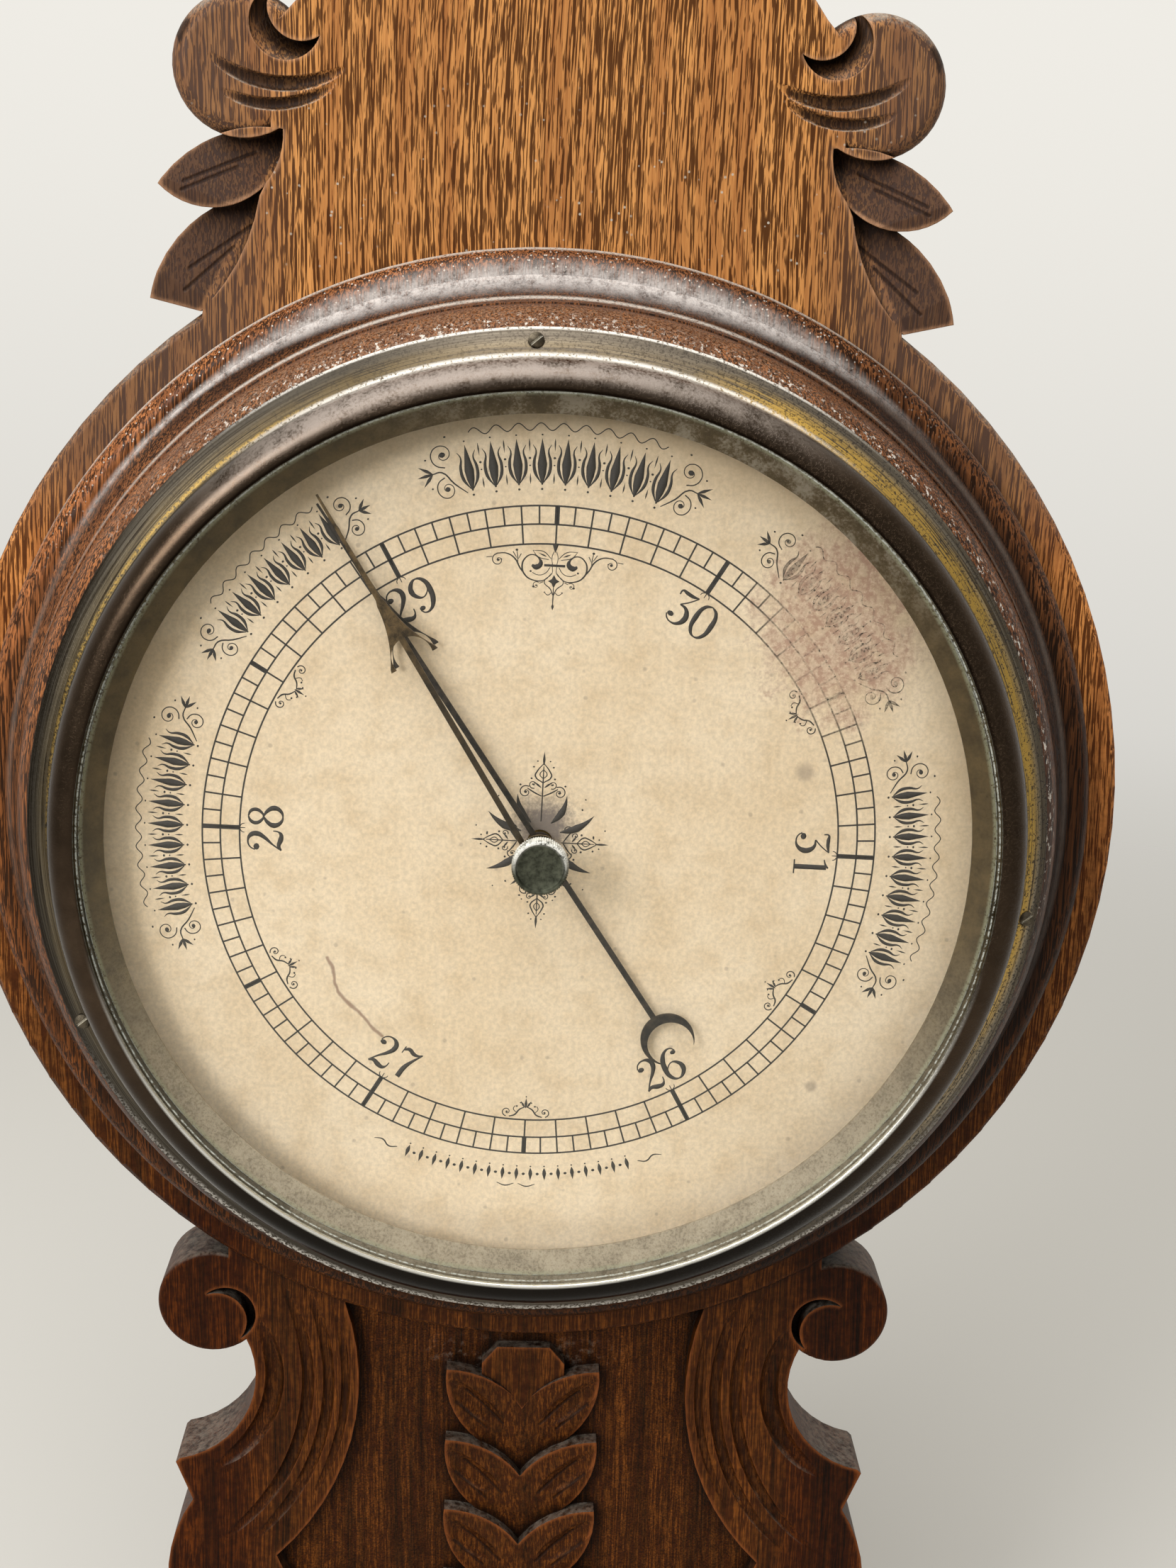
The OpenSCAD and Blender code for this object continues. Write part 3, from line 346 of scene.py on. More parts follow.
def case_oak(settings):
    """The case's oak: golden on the neck, brown and rubbed on the carving with painted shade in its hollows,
    bare at the back.
    """
    finish = Finish("carved_oak")
    x, h, z = finish.place()
    face_x, face_y, face_z = finish.facing()
    aged = z.rise(150, -110)
    light = finish.mix(aged, settings.light, settings.aged_light)
    dark = finish.mix(aged, settings.dark, settings.aged_dark)
    wood, grain = oak(finish, light, dark, settings.pore)
    side = abs(x)
    front = face_y.rise(-0.4, -0.8)
    back = face_y.rise(0.5, 0.9)
    upper = z.rise(60, 90)
    cloud = finish.mottle(0.5, 4.0, 0.7)
    wood = wood.shade(1 + aged * (cloud.rise(0.36, 0.64) - 0.5) * 0.55)

    # The volutes painted greyer and darker: partly their dust, partly a painted sheen and painted shade.
    scroll = upper * side.rise(56, 80) * z.rise(215, 190) * (1 - back)
    wood = wood.toward(tone(92, 74, 66), scroll * 0.55).shade(1 - scroll * 0.24)
    # The sunken leaves painted darker: partly their dirt, partly painted shade in the recess.
    leaf = (side + 0.5 * z).rise(141.7, 142.7) * upper * front * z.rise(112, 117) * z.rise(162, 158)
    leaf = leaf * finish.reach(side, z, LEAF_EYE).rise(LEAF_RADIUS, LEAF_RADIUS + 0.8)
    wood = wood.toward(tone(78, 58, 50), leaf * (0.35 + 0.3 * cloud)).shade(1 - leaf * 0.4)
    # Painted shade: the gouged grooves and the volutes' hooks are painted dark.
    grooves = gouged(finish, side, h, z)
    wood = wood.toward(tone(34, 22, 15), grooves * 0.85)
    # Painted light: the round's sides are painted lighter.
    round_side = z.bell(20, 110) * side.rise(104, 124) * (1 - back)
    wood = wood.toward((1.34, 1.22, 1.15), round_side, "MULTIPLY")
    # Painted shadow: the curls and flares under the round are painted darker.
    curls = side.rise(64, 78) * z.rise(-98, -112) * (1 - back)
    wood = wood.toward((0.6, 0.46, 0.3), curls, "MULTIPLY")
    # The sunk ground stippled light and dark: its punched texture, with painted glints standing for its
    # sheen.
    ground = (1 - upper) * front * h.rise(18.6, 15.2)
    weave = finish.noise(x * 1.6, 0.0, z * 2.0, 2.0, 0.7).rise(0.34, 0.66)
    wood = wood.shade(1 - ground * (0.5 - 0.8 * weave))
    # Painted shade: the cut veins of the leaves and husks are painted dark.
    cut = veined(finish, side, z)
    wood = wood.toward(tone(26, 14, 9), cut * 0.75)

    edges = finish.hollow(1.6, inside=True) + 0.3 * finish.mottle(0.4, 3.0)
    rubbed = edges.rise(0.36, 0.62) * front * (1 - grooves)
    bare = finish.mix(aged, tone(200, 150, 112), tone(140, 78, 38))
    wood = wood.toward(bare, rubbed * (0.42 + 0.2 * aged))
    # Painted shade in the carving's hollows, with the grime that gathers there.
    wood = wood.toward(tone(16, 8, 4), finish.hollow(7.0).rise(0.14, 0.7) * 0.88)
    # Painted shade in the creases of the carved apron.
    creases = finish.hollow(2.6).rise(0.04, 0.34) * front * aged
    wood = wood.toward(tone(20, 10, 5), creases * 0.6)

    ledge = face_z.rise(0.3, 0.85) * (1 - grooves)
    specks = finish.cells(x * 0.36, h * 0.36, z * 0.36).rise(0.13, 0.08) * front * (1 - leaf)
    specks = specks * finish.noise(x * 0.05, 3.0, z * 0.05).rise(0.44, 0.58)
    specks = specks * z.rise(120, 136) * z.rise(180, 150)
    # Dust on the ledges and pale specks; at the top husk's foot a pale patch, partly dust and partly a
    # painted sheen.
    foot_dust_and_sheen = z.bell(-153, 7) * side.rise(30, 16) * cloud.rise(0.5, 0.7) * ground
    dust = ledge * cloud.rise(0.3, 0.66) * (0.3 + 0.35 * upper)
    dust = dust.most(specks * 0.9).most(foot_dust_and_sheen * 0.2)
    wood = wood.toward(settings.dust, dust).toward(tone(150, 122, 92), back * 0.4)
    height = grain * 0.5 - cut * 1.6 + ground * weave * 0.5
    return finish.done(
        Base_Color=wood,
        Roughness=0.36 + 0.4 * dust + 0.3 * back + 0.12 * cloud,
        Normal=finish.bump(height, 0.25, 0.7, finish.softened(0.5)),
        Specular_IOR_Level=0.08,
    )


def ring_chips(finish, radius, top, fine):
    """1 on the pale specks, flakes and pale edge lines of the turned ring."""
    x, h, z = finish.place()
    strewn = finish.cells(x * 0.8, h * 0.8, z * 0.8).rise(0.22, 0.14) * radius.bell(132.5, 4) * top
    flakes = finish.grain(0.9, 0.5, 3.0, 0.7).rise(0.56, 0.64) * finish.mottle(0.07).rise(0.34, 0.5)
    flakes = flakes * x.rise(-30, 50).most(top) * z.rise(-50, 10) * radius.bell(119.8, 2.6)
    # Thin pale lines along two edges, stronger at the top.
    edges = radius.bell(124.6, 0.55).most(radius.bell(135.4, 0.6)) * (0.15 + 0.85 * top) * fine.rise(0.3, 0.5)
    return strewn.most(flakes).most(edges * 0.8)


def surround_oak():
    """The turned ring's oak: red-brown, with a waxy film and painted sheen and shade in its cove, painted
    light on its left, and dust and chips along its edges.
    """
    finish = Finish("turned_oak")
    x, h, z = finish.place()
    radius = finish.reach(x, z)
    aged = z.rise(130, -80)
    light = finish.mix(aged, tone(150, 94, 54), tone(88, 48, 18))
    dark = finish.mix(aged, tone(82, 47, 25), tone(42, 21, 7))
    wood, grain = oak(finish, light, dark, tone(26, 13, 5))
    cloud = finish.mottle(0.35, 4.0, 0.65)
    fine = finish.mottle(1.6, 3.0, 0.7)
    top = (z - 0.18 * x).rise(70, 124)
    inner = radius.rise(123.6, 122.6)
    left = x.rise(-60, -122)
    # Painted light and shade: the ring painted lighter on the left and darker on the right; a little darker
    # on the inner bead.
    wood = wood.shade(1 + 0.6 * left - 0.2 * inner - 0.4 * (1 - inner) * x.rise(-20, 80))
    # Painted shade in the cove, less on the lit left.
    wood = wood.toward(tone(26, 15, 9), radius.bell(127.6, 5.4) * (0.85 - 0.4 * left))
    sheen = radius.bell(128.2, 1.2) * (1 - top) * z.rise(-70, 50)
    wood = wood.toward(tone(120, 106, 96), sheen * (0.1 + 0.5 * cloud))
    # A pale waxy film in the cove, widest at the top and leaning to the left: partly real, partly a painted
    # sheen.
    wax_and_sheen = radius.bell(129.4, 1.2 + 3.6 * z.rise(98, 127)) * top * (cloud * 0.6 + fine * 0.4).rise(0.24, 0.62)
    wood = wood.toward(tone(206, 198, 192), wax_and_sheen * 0.85)
    streaks = finish.noise(x * 1.1, h * 0.2, z * 0.14, 3.0, 0.7).rise(0.44, 0.58)
    wood = wood.toward(tone(72, 44, 30), streaks * inner * top * 0.7)
    wood = wood.toward(tone(176, 140, 112), inner * top * fine.rise(0.4, 0.62) * 0.36)
    chips = ring_chips(finish, radius, top, fine)
    wood = wood.toward(tone(214, 206, 194), chips * 0.85)
    # Painted shade in the ring's hollows.
    wood = wood.toward(tone(16, 8, 4), finish.hollow(4.0).rise(0.2, 0.8) * 0.8)
    return finish.done(Base_Color=wood, Roughness=0.34 + 0.3 * wax_and_sheen, Specular_IOR_Level=0.1,
                       Normal=finish.bump(grain + chips, 0.15, 0.6, finish.softened(0.4)))


def frame_oak():
    """Plain dark waxed oak for the thermometer's frame."""
    finish = Finish("frame_oak")
    wood, grain = oak(finish, tone(128, 80, 42), tone(84, 48, 23), tone(30, 14, 4))
    edges = finish.hollow(1.4, inside=True).rise(0.3, 0.6)
    wood = wood.toward(tone(168, 116, 72), edges * 0.3)
    # Painted shade in the frame's hollows.
    wood = wood.toward(tone(36, 20, 11), finish.hollow(5.0).rise(0.25, 0.8) * 0.7)
    return finish.done(Base_Color=wood, Roughness=0.4 + 0.1 * edges, Specular_IOR_Level=0.1,
                       Normal=finish.bump(grain, 0.15, 0.6, finish.softened(0.4)))


class BAROMETER_OT_oak(bpy.types.Operator):
    """Finishes the oak case, its turned ring and the thermometer's frame"""

    bl_idname = "barometer.oak"
    bl_label = "Oak"

    def execute(self, context):
        dress(case_oak(context.scene.barometer_case), "case_board")
        dress(surround_oak(), "dial_surround")
        dress(frame_oak(), "thermometer_frame")
        return {"FINISHED"}


# Metal, glass and card


def bezel_brass():
    """Old brass: a dull lathe-turned flange with gold left at its sides, and a dark bronzed roll, with
    painted shade, shadow and highlights.
    """
    finish = Finish("bezel_brass")
    x, h, z = finish.place()
    radius = finish.reach(x, z)
    up, right = z / radius, x / radius
    cloud = finish.mottle(0.12, 4.0, 0.65)
    pits = finish.mottle(1.5, 3.0, 0.7)
    lathe = finish.noise(radius * 3.4, up * 2.6, right * 2.6, 3.0, 0.7)
    top = up.rise(0.5, 0.97)
    low = up.rise(-0.35, -0.9)

    plain = finish.mix(lathe.rise(0.35, 0.65), tone(78, 68, 55), tone(168, 158, 140))
    plain = plain.toward(tone(62, 52, 40), radius.rise(115.8, 118) * (1 - top) * 0.7)
    # Greyer at the top; painted shade on the left, and darker towards the bottom.
    plain = plain.toward(tone(92, 84, 74), top * 0.8).shade(1 - 0.68 * right.rise(-0.05, -0.4))
    plain = plain.toward(tone(50, 41, 26), low * 0.7)
    bands = radius.rise(117.4, 114.6) * (lathe + 0.4 * (cloud - 0.5)).rise(0.34, 0.5)
    sides = abs(right).rise(0.2, 0.5) * up.rise(-0.75, -0.1) * (0.08 + 0.92 * right.rise(-0.3, 0.5))
    thread = radius.bell(113.5, 0.9) * up.rise(-0.25, 0.2) * pits.rise(0.4, 0.54) * right.rise(-0.3, -0.7)
    plain = plain.toward(tone(196, 160, 82), (bands * sides.most(0.08 * top)).most(thread * 0.6))
    spots = pits.rise(0.53, 0.59) * (0.25 + 0.7 * right.rise(-0.1, 0.7))
    plain = plain.toward(tone(28, 21, 13), spots * 0.88)

    # The roll: painted near black at the bottom, as painted shade where it faces down.
    roll = finish.mix(cloud, tone(44, 35, 27), tone(78, 64, 51)).toward(tone(16, 15, 12), low * 0.9)
    # A pale film on the roll at the top: partly dust, partly a painted reflection of the bright room above.
    film = (up - 0.1 * right).rise(0.72, 0.99) * (cloud * 0.5 + pits * 0.5).rise(0.3, 0.58)
    film = film * radius.rise(106.4, 111.4)
    roll = roll.toward(tone(164, 152, 142), film * 0.66)
    # On the lip: a painted shadow line at the top and a painted highlight line at the bottom.
    lip = radius.rise(106.8, 106)
    roll = roll.toward(tone(26, 18, 12), lip * up.rise(-0.1, 0.5))
    roll = roll.toward(tone(236, 234, 226), lip * up.rise(-0.2, -0.7))

    flange = radius.rise(112.3, 112.8)
    # Pale dust in the valleys at the top, and painted glints along the flange's outer edge at the bottom.
    valley = radius.bell(112.9, 0.8).most(radius.rise(118.1, 118.5))
    glint = pits.rise(0.42, 0.56) * low * radius.rise(116.8, 118.4)
    bloom_and_highlight = (valley * up.rise(0.74, 0.97) * pits.rise(0.34, 0.5)).most(glint * 0.7)
    metal = finish.mix(flange, roll, plain).toward(tone(232, 226, 216), bloom_and_highlight * 0.9)
    dull = (spots * 0.6 * flange).most(bloom_and_highlight).most(film * (1 - flange) * 0.8)
    return finish.done(
        Base_Color=metal,
        Metallic=1 - 0.8 * dull,
        Roughness=0.2 + 0.12 * cloud + 0.35 * dull + 0.1 * flange + 0.15 * top * flange,
        Normal=finish.bump(lathe * 0.35 - spots, 0.05, 0.6, finish.softened(0.6)),
        Coat_Weight=0.12 * low,
        Coat_Roughness=0.06,
    )


def brass(name, light, dark, rough, scale=1.0, slot=0.0):
    """Handled brass: mottled, with dark specks, fine scratches and, on screws, a slot rubbed bright."""
    finish = Finish(name)
    x, h, z = (part * scale for part in finish.place())
    cloud = finish.mottle(0.2 * scale, 4.0, 0.65)
    specks = finish.mottle(1.8 * scale, 3.0, 0.7).rise(0.56, 0.7)
    scratch = finish.noise(x * 0.6, h * 6.0, z * 6.0)
    metal = finish.mix(cloud.rise(0.3, 0.7), dark, light)
    metal = metal.toward([part * 0.35 for part in dark], specks * 0.5)
    metal = metal.toward(tone(226, 220, 204), finish.hollow(0.8).rise(0.25, 0.5) * slot)
    return finish.done(
        Base_Color=metal,
        Metallic=1 - 0.4 * specks,
        Roughness=rough + 0.18 * cloud + 0.2 * specks,
        Normal=finish.bump(scratch - specks, 0.02, 0.5, finish.softened(0.15)),
    )


def steel(name, light, dark, rough):
    """Drawn steel: fine lines, a mottled tone and rust in patches."""
    finish = Finish(name)
    lines = finish.grain(8.0, 0.7)
    cloud = finish.mottle(0.3, 4.0, 0.6)
    metal = finish.mix((cloud * 0.6 + lines * 0.4).rise(0.3, 0.7), dark, light)
    rust = finish.mottle(0.9, 4.0, 0.7).rise(0.58, 0.72)
    return finish.done(
        Base_Color=metal.toward(tone(94, 62, 44), rust * 0.35),
        Metallic=1 - 0.5 * rust,
        Roughness=rough + 0.15 * cloud + 0.3 * rust,
        Normal=finish.bump(lines, 0.01, 0.4, finish.softened(0.15)),
    )


def blackened_steel():
    """The pointer's black: a dry dark finish with brown showing through."""
    finish = Finish("blackened_steel")
    cloud = finish.mottle(0.6, 4.0, 0.7)
    metal = finish.mix(cloud.rise(0.35, 0.7), tone(30, 27, 24), tone(70, 60, 50))
    return finish.done(Base_Color=metal, Metallic=0.35, Roughness=0.5 + 0.15 * cloud,
                       Normal=finish.bump(cloud, 0.03, 0.5, finish.softened(0.15)))


def hand_brass():
    """The set hand's brass, browned, and darker towards its middle."""
    finish = Finish("hand_brass")
    x, h, z = finish.place()
    cloud = finish.mottle(0.4, 4.0, 0.7)
    metal = finish.mix(cloud.rise(0.3, 0.7), tone(58, 48, 34), tone(122, 100, 68))
    metal = metal.toward(tone(54, 48, 40), finish.reach(x, z).rise(62, 40) * 0.7)
    return finish.done(Base_Color=metal, Metallic=0.75, Roughness=0.34 + 0.2 * cloud,
                       Normal=finish.bump(cloud, 0.03, 0.5, finish.softened(0.15)))


def sight_brass():
    """The sight ring's dull olive brass: dark at the top with dust on it, paler at the bottom, partly smears
    and partly painted light.
    """
    finish = Finish("sight_brass")
    x, h, z = finish.place()
    cloud = finish.mottle(0.15, 4.0, 0.65)
    fine = finish.mottle(1.4, 3.0, 0.7)
    low = z.rise(-10, -90)
    metal = finish.mix((cloud * 0.7 + fine * 0.3).rise(0.3, 0.7), tone(66, 53, 31), tone(100, 83, 53))
    # Paler at the bottom: a broad painted light where the ring faces up, with grey smears in patches.
    pale = low * (0.4 + 0.55 * (fine * 0.6 + cloud * 0.4).rise(0.36, 0.62))
    metal = metal.toward(tone(176, 164, 142), pale)
    metal = metal.toward(tone(56, 46, 32), fine.rise(0.58, 0.7) * 0.4)
    powder = (z + 0.35 * x).rise(78, 104) * (cloud * 0.6 + fine * 0.4).rise(0.44, 0.62)
    metal = metal.toward(tone(176, 170, 158), powder * 0.36)
    green = finish.reach(x, z).bell(105, 0.8) * fine.rise(0.34, 0.5)
    metal = metal.toward(tone(156, 158, 132), green * 0.6)
    return finish.done(Base_Color=metal, Metallic=0.2 - 0.2 * low.most(powder), Roughness=0.45 + 0.2 * fine,
                       Specular_IOR_Level=0.2, Normal=finish.bump(fine, 0.03, 0.5))


def clear_glass(name, power, rim=0.0):
    """Thin clear glass: what lies behind shows, with a gleam that grows at a glance and a pale ground rim."""
    finish = Finish(name)
    x, h, z = finish.place()
    smear = finish.mottle(0.03, 4.0, 0.65)
    fine = finish.mottle(0.9, 3.0, 0.7)
    gleam = finish.node("Fresnel", None, {"IOR": 1.45})
    edge = finish.reach(x, z).bell(105.4, 0.4) * fine.rise(0.36, 0.56) * rim
    return finish.done(
        Base_Color=(0.82, 0.84, 0.74, 1),
        Metallic=1 - edge,
        Roughness=0.03 + 0.06 * smear.rise(0.4, 0.8) + 0.4 * edge,
        Alpha=gleam * power + 0.012 * smear + 0.6 * edge,
    )


# Places of the card's faults and of a grey patch about the knob, in millimetres from the dial's centre

STAIN, GREY_PATCH, SPOT, SMALL_SPOT = (68, 54), (0.5, 3.5), (61.5, 18.5), (67.5, -60)
CRACK = (((-49.5, -30), (-47, -38.5)), ((-47, -38.5), (-36.5, -49.5)))


def dial_card(settings):
    """Printed card: cream, foxed and browned at the rim, with a rubbed stain and a crack; a painted shadow
    darkens the top of its rim and painted light brightens its bottom.
    """
    finish = Finish("dial_card")
    x, h, z = finish.place()
    broad = finish.noise(x * 0.03, 0.0, z * 0.03, 4.0, 0.6)
    middle = finish.noise(x * 0.12, 4.0, z * 0.12, 4.0, 0.65)
    fine = finish.noise(x * 0.9, 8.0, z * 0.9, 4.0, 0.7)
    card = finish.mix(broad.rise(0.3, 0.7) * 0.7, settings.card, tone(225, 201, 165))
    card = card.toward(tone(210, 184, 146), middle.rise(0.42, 0.72) * 0.5)
    card = card.shade(0.88 + 0.22 * fine.rise(0.3, 0.7))
    light = finish.cells(x * 0.5, 0.0, z * 0.5).rise(0.12, 0.06)
    light = light * finish.noise(x * 0.06, 1.0, z * 0.06).rise(0.48, 0.62)
    card = card.toward(tone(246, 232, 206), light * 0.6)
    # Browned at the rim, less towards the bottom; a painted shadow at the top of the rim, and painted light
    # at the bottom.
    rim = (finish.reach(x, z) + 8 * (broad - 0.5)).rise(88, 103)
    card = card.toward(tone(196, 170, 128), rim * 0.3 * z.rise(-90, 20))
    card = card.toward(tone(146, 124, 96), rim * 0.45 * z.rise(60, 104))
    card = card.shade(1 + 0.15 * z.rise(-66, -98))

    spread = finish.reach(x - STAIN[0], (z - STAIN[1]) * 0.8367) + 34 * (middle - 0.5) + 16 * (fine - 0.5)
    stain = spread.rise(23, 12)
    patchy = finish.noise(x * 0.4, 3.0, z * 0.4, 5.0, 0.75).rise(0.42, 0.58)
    card = card.toward(tone(166, 122, 102), stain * (0.35 + 0.4 * patchy))
    card = card.toward(tone(224, 200, 172), stain * fine.rise(0.52, 0.64) * 0.6)
    # A grey patch about the knob, darker towards its middle.
    grey_patch = finish.reach(x, z, GREY_PATCH) + 4 * (middle - 0.5) + 9 * (fine - 0.5)
    card = card.toward(tone(106, 96, 93), grey_patch.rise(10.5, 2.5) * 0.88)
    bend = (finish.noise(x * 0.16, 2.0, z * 0.16) - 0.5) * 3
    crack = finish.seams(x + bend, z, CRACK).rise(0.65, 0.12)
    card = card.toward(tone(126, 90, 76), crack * 0.72)
    spots = (finish.reach(x, z, SPOT) + 3 * (middle - 0.5)).rise(3.2, 0.8)
    spots = spots.most(finish.reach(x, z, SMALL_SPOT).rise(2, 0.6))
    foxing = finish.cells(x * 0.14, 5.0, z * 0.14).rise(0.1, 0.04)
    card = card.toward(tone(132, 116, 104), spots.most(foxing * 0.7) * 0.5)
    return finish.done(Base_Color=card, Roughness=0.82 - 0.06 * fine,
                       Normal=finish.bump(fine - crack * 2, 0.04, 0.4))


def scale_enamel():
    """The thermometer's white scale: yellowed, with fine crazing."""
    finish = Finish("scale_enamel")
    x, h, z = finish.place()
    cloud = finish.mottle(0.08, 4.0, 0.6)
    lines = finish.node("TexVoronoi", {"feature": "DISTANCE_TO_EDGE"},
                        {"Vector": finish.vector(x * 0.3, h * 0.3, z * 0.3), "Scale": 1.0})
    crazing = lines.rise(0.03, 0.0)
    white = finish.mix(cloud.rise(0.3, 0.7), tone(232, 226, 208), tone(216, 204, 176))
    white = white.toward(tone(150, 132, 104), crazing * 0.25)
    return finish.done(Base_Color=white, Roughness=0.3 + 0.1 * cloud,
                       Normal=finish.bump(1 - crazing, 0.01, 0.4, finish.softened(0.2)))


def tinplate():
    """Tinned sheet: a dull spangle with rust at its edges."""
    finish = Finish("tinplate")
    x, h, z = finish.place()
    spangle = finish.node("TexVoronoi", None, out="Color",
                          values={"Vector": finish.vector(x * 0.12, h * 0.12, z * 0.12), "Scale": 1.0})
    patch = finish.parts(spangle)[0]
    cloud = finish.mottle(0.09, 5.0, 0.7)
    rust = (cloud + 0.5 * finish.hollow(2.0, inside=True)).rise(0.62, 0.8)
    metal = finish.mix(patch, tone(122, 120, 114), tone(166, 164, 158))
    return finish.done(
        Base_Color=metal.toward(tone(108, 76, 54), rust * 0.6),
        Metallic=0.85 - 0.6 * rust,
        Roughness=0.42 + 0.1 * patch + 0.25 * rust,
        Normal=finish.bump(cloud + 0.2 * patch, 0.06, 0.5, finish.softened(0.3)),
    )


def mercury():
    """The thread of mercury, bright, with a faint dull film."""
    finish = Finish("mercury_thread")
    film = finish.grain(0.8, 0.4, 3.0, 0.6)
    metal = finish.mix(film, tone(176, 178, 182), tone(206, 208, 210))
    return finish.done(Base_Color=metal, Metallic=1.0, Roughness=0.08 + 0.1 * film)


class BAROMETER_OT_metal(bpy.types.Operator):
    """Finishes the bezel, the hands, the screws and the movement inside"""

    bl_idname = "barometer.metal"
    bl_label = "Metal"

    def execute(self, context):
        dress(bezel_brass(), "bezel")
        dress(sight_brass(), "sight_ring")
        dress(hand_brass(), "set_hand", "set_arbor")
        dress(blackened_steel(), "pointer")
        dress(brass("worn_brass", tone(104, 95, 80), tone(58, 52, 43), 0.4, 2.0, 0.75), "bezel_screws")
        dress(brass("screw_brass", tone(176, 162, 136), tone(112, 98, 76), 0.32, 2.0), "frame_screws",
              "hanging_screws", "tube_clips", "dial_screws", "cover_screws", "spring_washer")
        dress(brass("plate_brass", tone(164, 134, 82), tone(110, 86, 50), 0.4), "hanging_plate")
        dress(brass("movement_brass", tone(206, 170, 92), tone(166, 128, 62), 0.26), "base_plate", "pillars",
              "shaft_bracket", "bridge_posts", "arbor_bridge", "cock_pillars", "arbor_cock", "chain_drum",
              "hairspring_stud", "spring_bridge")
        dress(brass("capsule_metal", tone(190, 184, 168), tone(142, 136, 122), 0.34), "capsule")
        dress(steel("bright_steel", tone(168, 168, 168), tone(104, 104, 106), 0.28), "pillar_screws",
              "clamp_screws", "adjusting_screw", "rocking_shaft", "pointer_arbor", "chain", "spring_clamp",
              "capsule_post", "capsule_nut", "main_lever", "connecting_link")
        dress(steel("blued_steel", tone(62, 70, 104), tone(34, 38, 62), 0.24), "mainspring", "hairspring")
        dress(tinplate(), "back_cover", "dial_plate")
        dress(mercury(), "mercury_thread")
        return {"FINISHED"}


class BAROMETER_OT_dial(bpy.types.Operator):
    """Finishes the dial's card, the glasses and the thermometer's scale"""

    bl_idname = "barometer.dial"
    bl_label = "Dial and glass"

    def execute(self, context):
        dress(dial_card(context.scene.barometer_dial), "dial_card")
        dress(clear_glass("dial_glass", 0.4, 1.0), "dial_glass")
        dress(clear_glass("thermometer_glass", 0.6), "thermometer_glass")
        dress(clear_glass("tube_glass", 0.9), "thermometer_tube")
        dress(scale_enamel(), "thermometer_scale")
        return {"FINISHED"}


# Print

INK_THICKNESS = 0.04 * MM
INK_LIFT = 0.015 * MM
FLATTENING = 0.06
RING_POINTS = 240


def alone(piece):
    """Selects one piece and nothing else."""
    bpy.ops.object.select_all(action="DESELECT")
    piece.select_set(True)
    bpy.context.view_layer.objects.active = piece


def turned(piece, angle):
    """Turns a piece's mesh about the dial's axis."""
    centre = Matrix.Translation(DIAL)
    piece.data.transform(centre @ Matrix.Rotation(angle, 4, "Y") @ centre.inverted())
    return piece


def welded(piece):
    """Joins a piece's meeting points and turns its faces outwards."""
    alone(piece)
    bpy.ops.object.mode_set(mode="EDIT")
    bpy.ops.mesh.select_all(action="SELECT")
    bpy.ops.mesh.remove_doubles(threshold=WELD)
    bpy.ops.mesh.normals_make_consistent(inside=False)
    bpy.ops.object.mode_set(mode="OBJECT")


def drawn():
    """Ends the drawing of a mesh and gives it with its place in its points."""
    bpy.ops.object.mode_set(mode="OBJECT")
    bpy.ops.object.transform_apply(location=True, rotation=True, scale=True)
    return bpy.context.object


def settle(piece, name, material, turn=0.0):
    """Names a finished piece, turns it with the dial, and fixes it to the case."""
    turned(piece, turn)
    piece.name = piece.data.name = name
    piece.data.materials.clear()
    piece.data.materials.append(material)
    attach(piece, "case")


def printing_ink(settings):
    """Printer's ink, worn away over the stain and thin in places."""
    finish = Finish("dial_ink")
    x, h, z = finish.place()
    fine = finish.noise(x * 1.5, 0.0, z * 1.5, 4.0, 0.7)
    middle = finish.noise(x * 0.2, 4.0, z * 0.2, 4.0, 0.65)
    spread = finish.reach(x - STAIN[0] - 2, (z - STAIN[1]) * 0.8062) + 14 * (middle - 0.5)
    worn = spread.rise(30, 12) * (fine + 0.4 * middle).rise(0.44, 0.72)
    ink = finish.mix(fine, settings.ink, tone(70, 64, 58))
    return finish.done(Base_Color=ink, Roughness=0.75 - 0.1 * fine,
                       Alpha=0.95 - 0.9 * worn - 0.2 * fine.rise(0.6, 0.8))


def ring_line(radius, width):
    """A fine circle of the scale: a circle whose edge is drawn out to the line's width."""
    inner, outer = radius - width / 2, radius + width / 2
    bpy.ops.object.select_all(action="DESELECT")
    bpy.ops.mesh.primitive_circle_add(vertices=RING_POINTS, radius=inner, location=DIAL,
                                      rotation=(math.pi / 2, 0, 0), enter_editmode=True)
    bpy.ops.mesh.extrude_edges_move()
    bpy.ops.transform.resize(value=(outer / inner, 1, outer / inner), center_override=DIAL)
    return drawn()


def spun_marks(inner, outer, width, count, start=0.0):
    """Marks of the scale: one is drawn at the top and spun round the dial."""
    middle = DIAL + Vector((0, 0, (inner + outer) / 2))
    bpy.ops.object.select_all(action="DESELECT")
    bpy.ops.mesh.primitive_plane_add(size=1, location=middle, rotation=(math.pi / 2, 0, 0),
                                     enter_editmode=True)
    bpy.ops.transform.resize(value=(width, 1, outer - inner), center_override=middle)
    bpy.ops.mesh.subdivide(number_cuts=2)
    bpy.ops.mesh.spin(steps=count - 1, dupli=True, angle=math.tau * (count - 1) / count,
                      center=DIAL, axis=(0, 1, 0))
    return turned(drawn(), start)


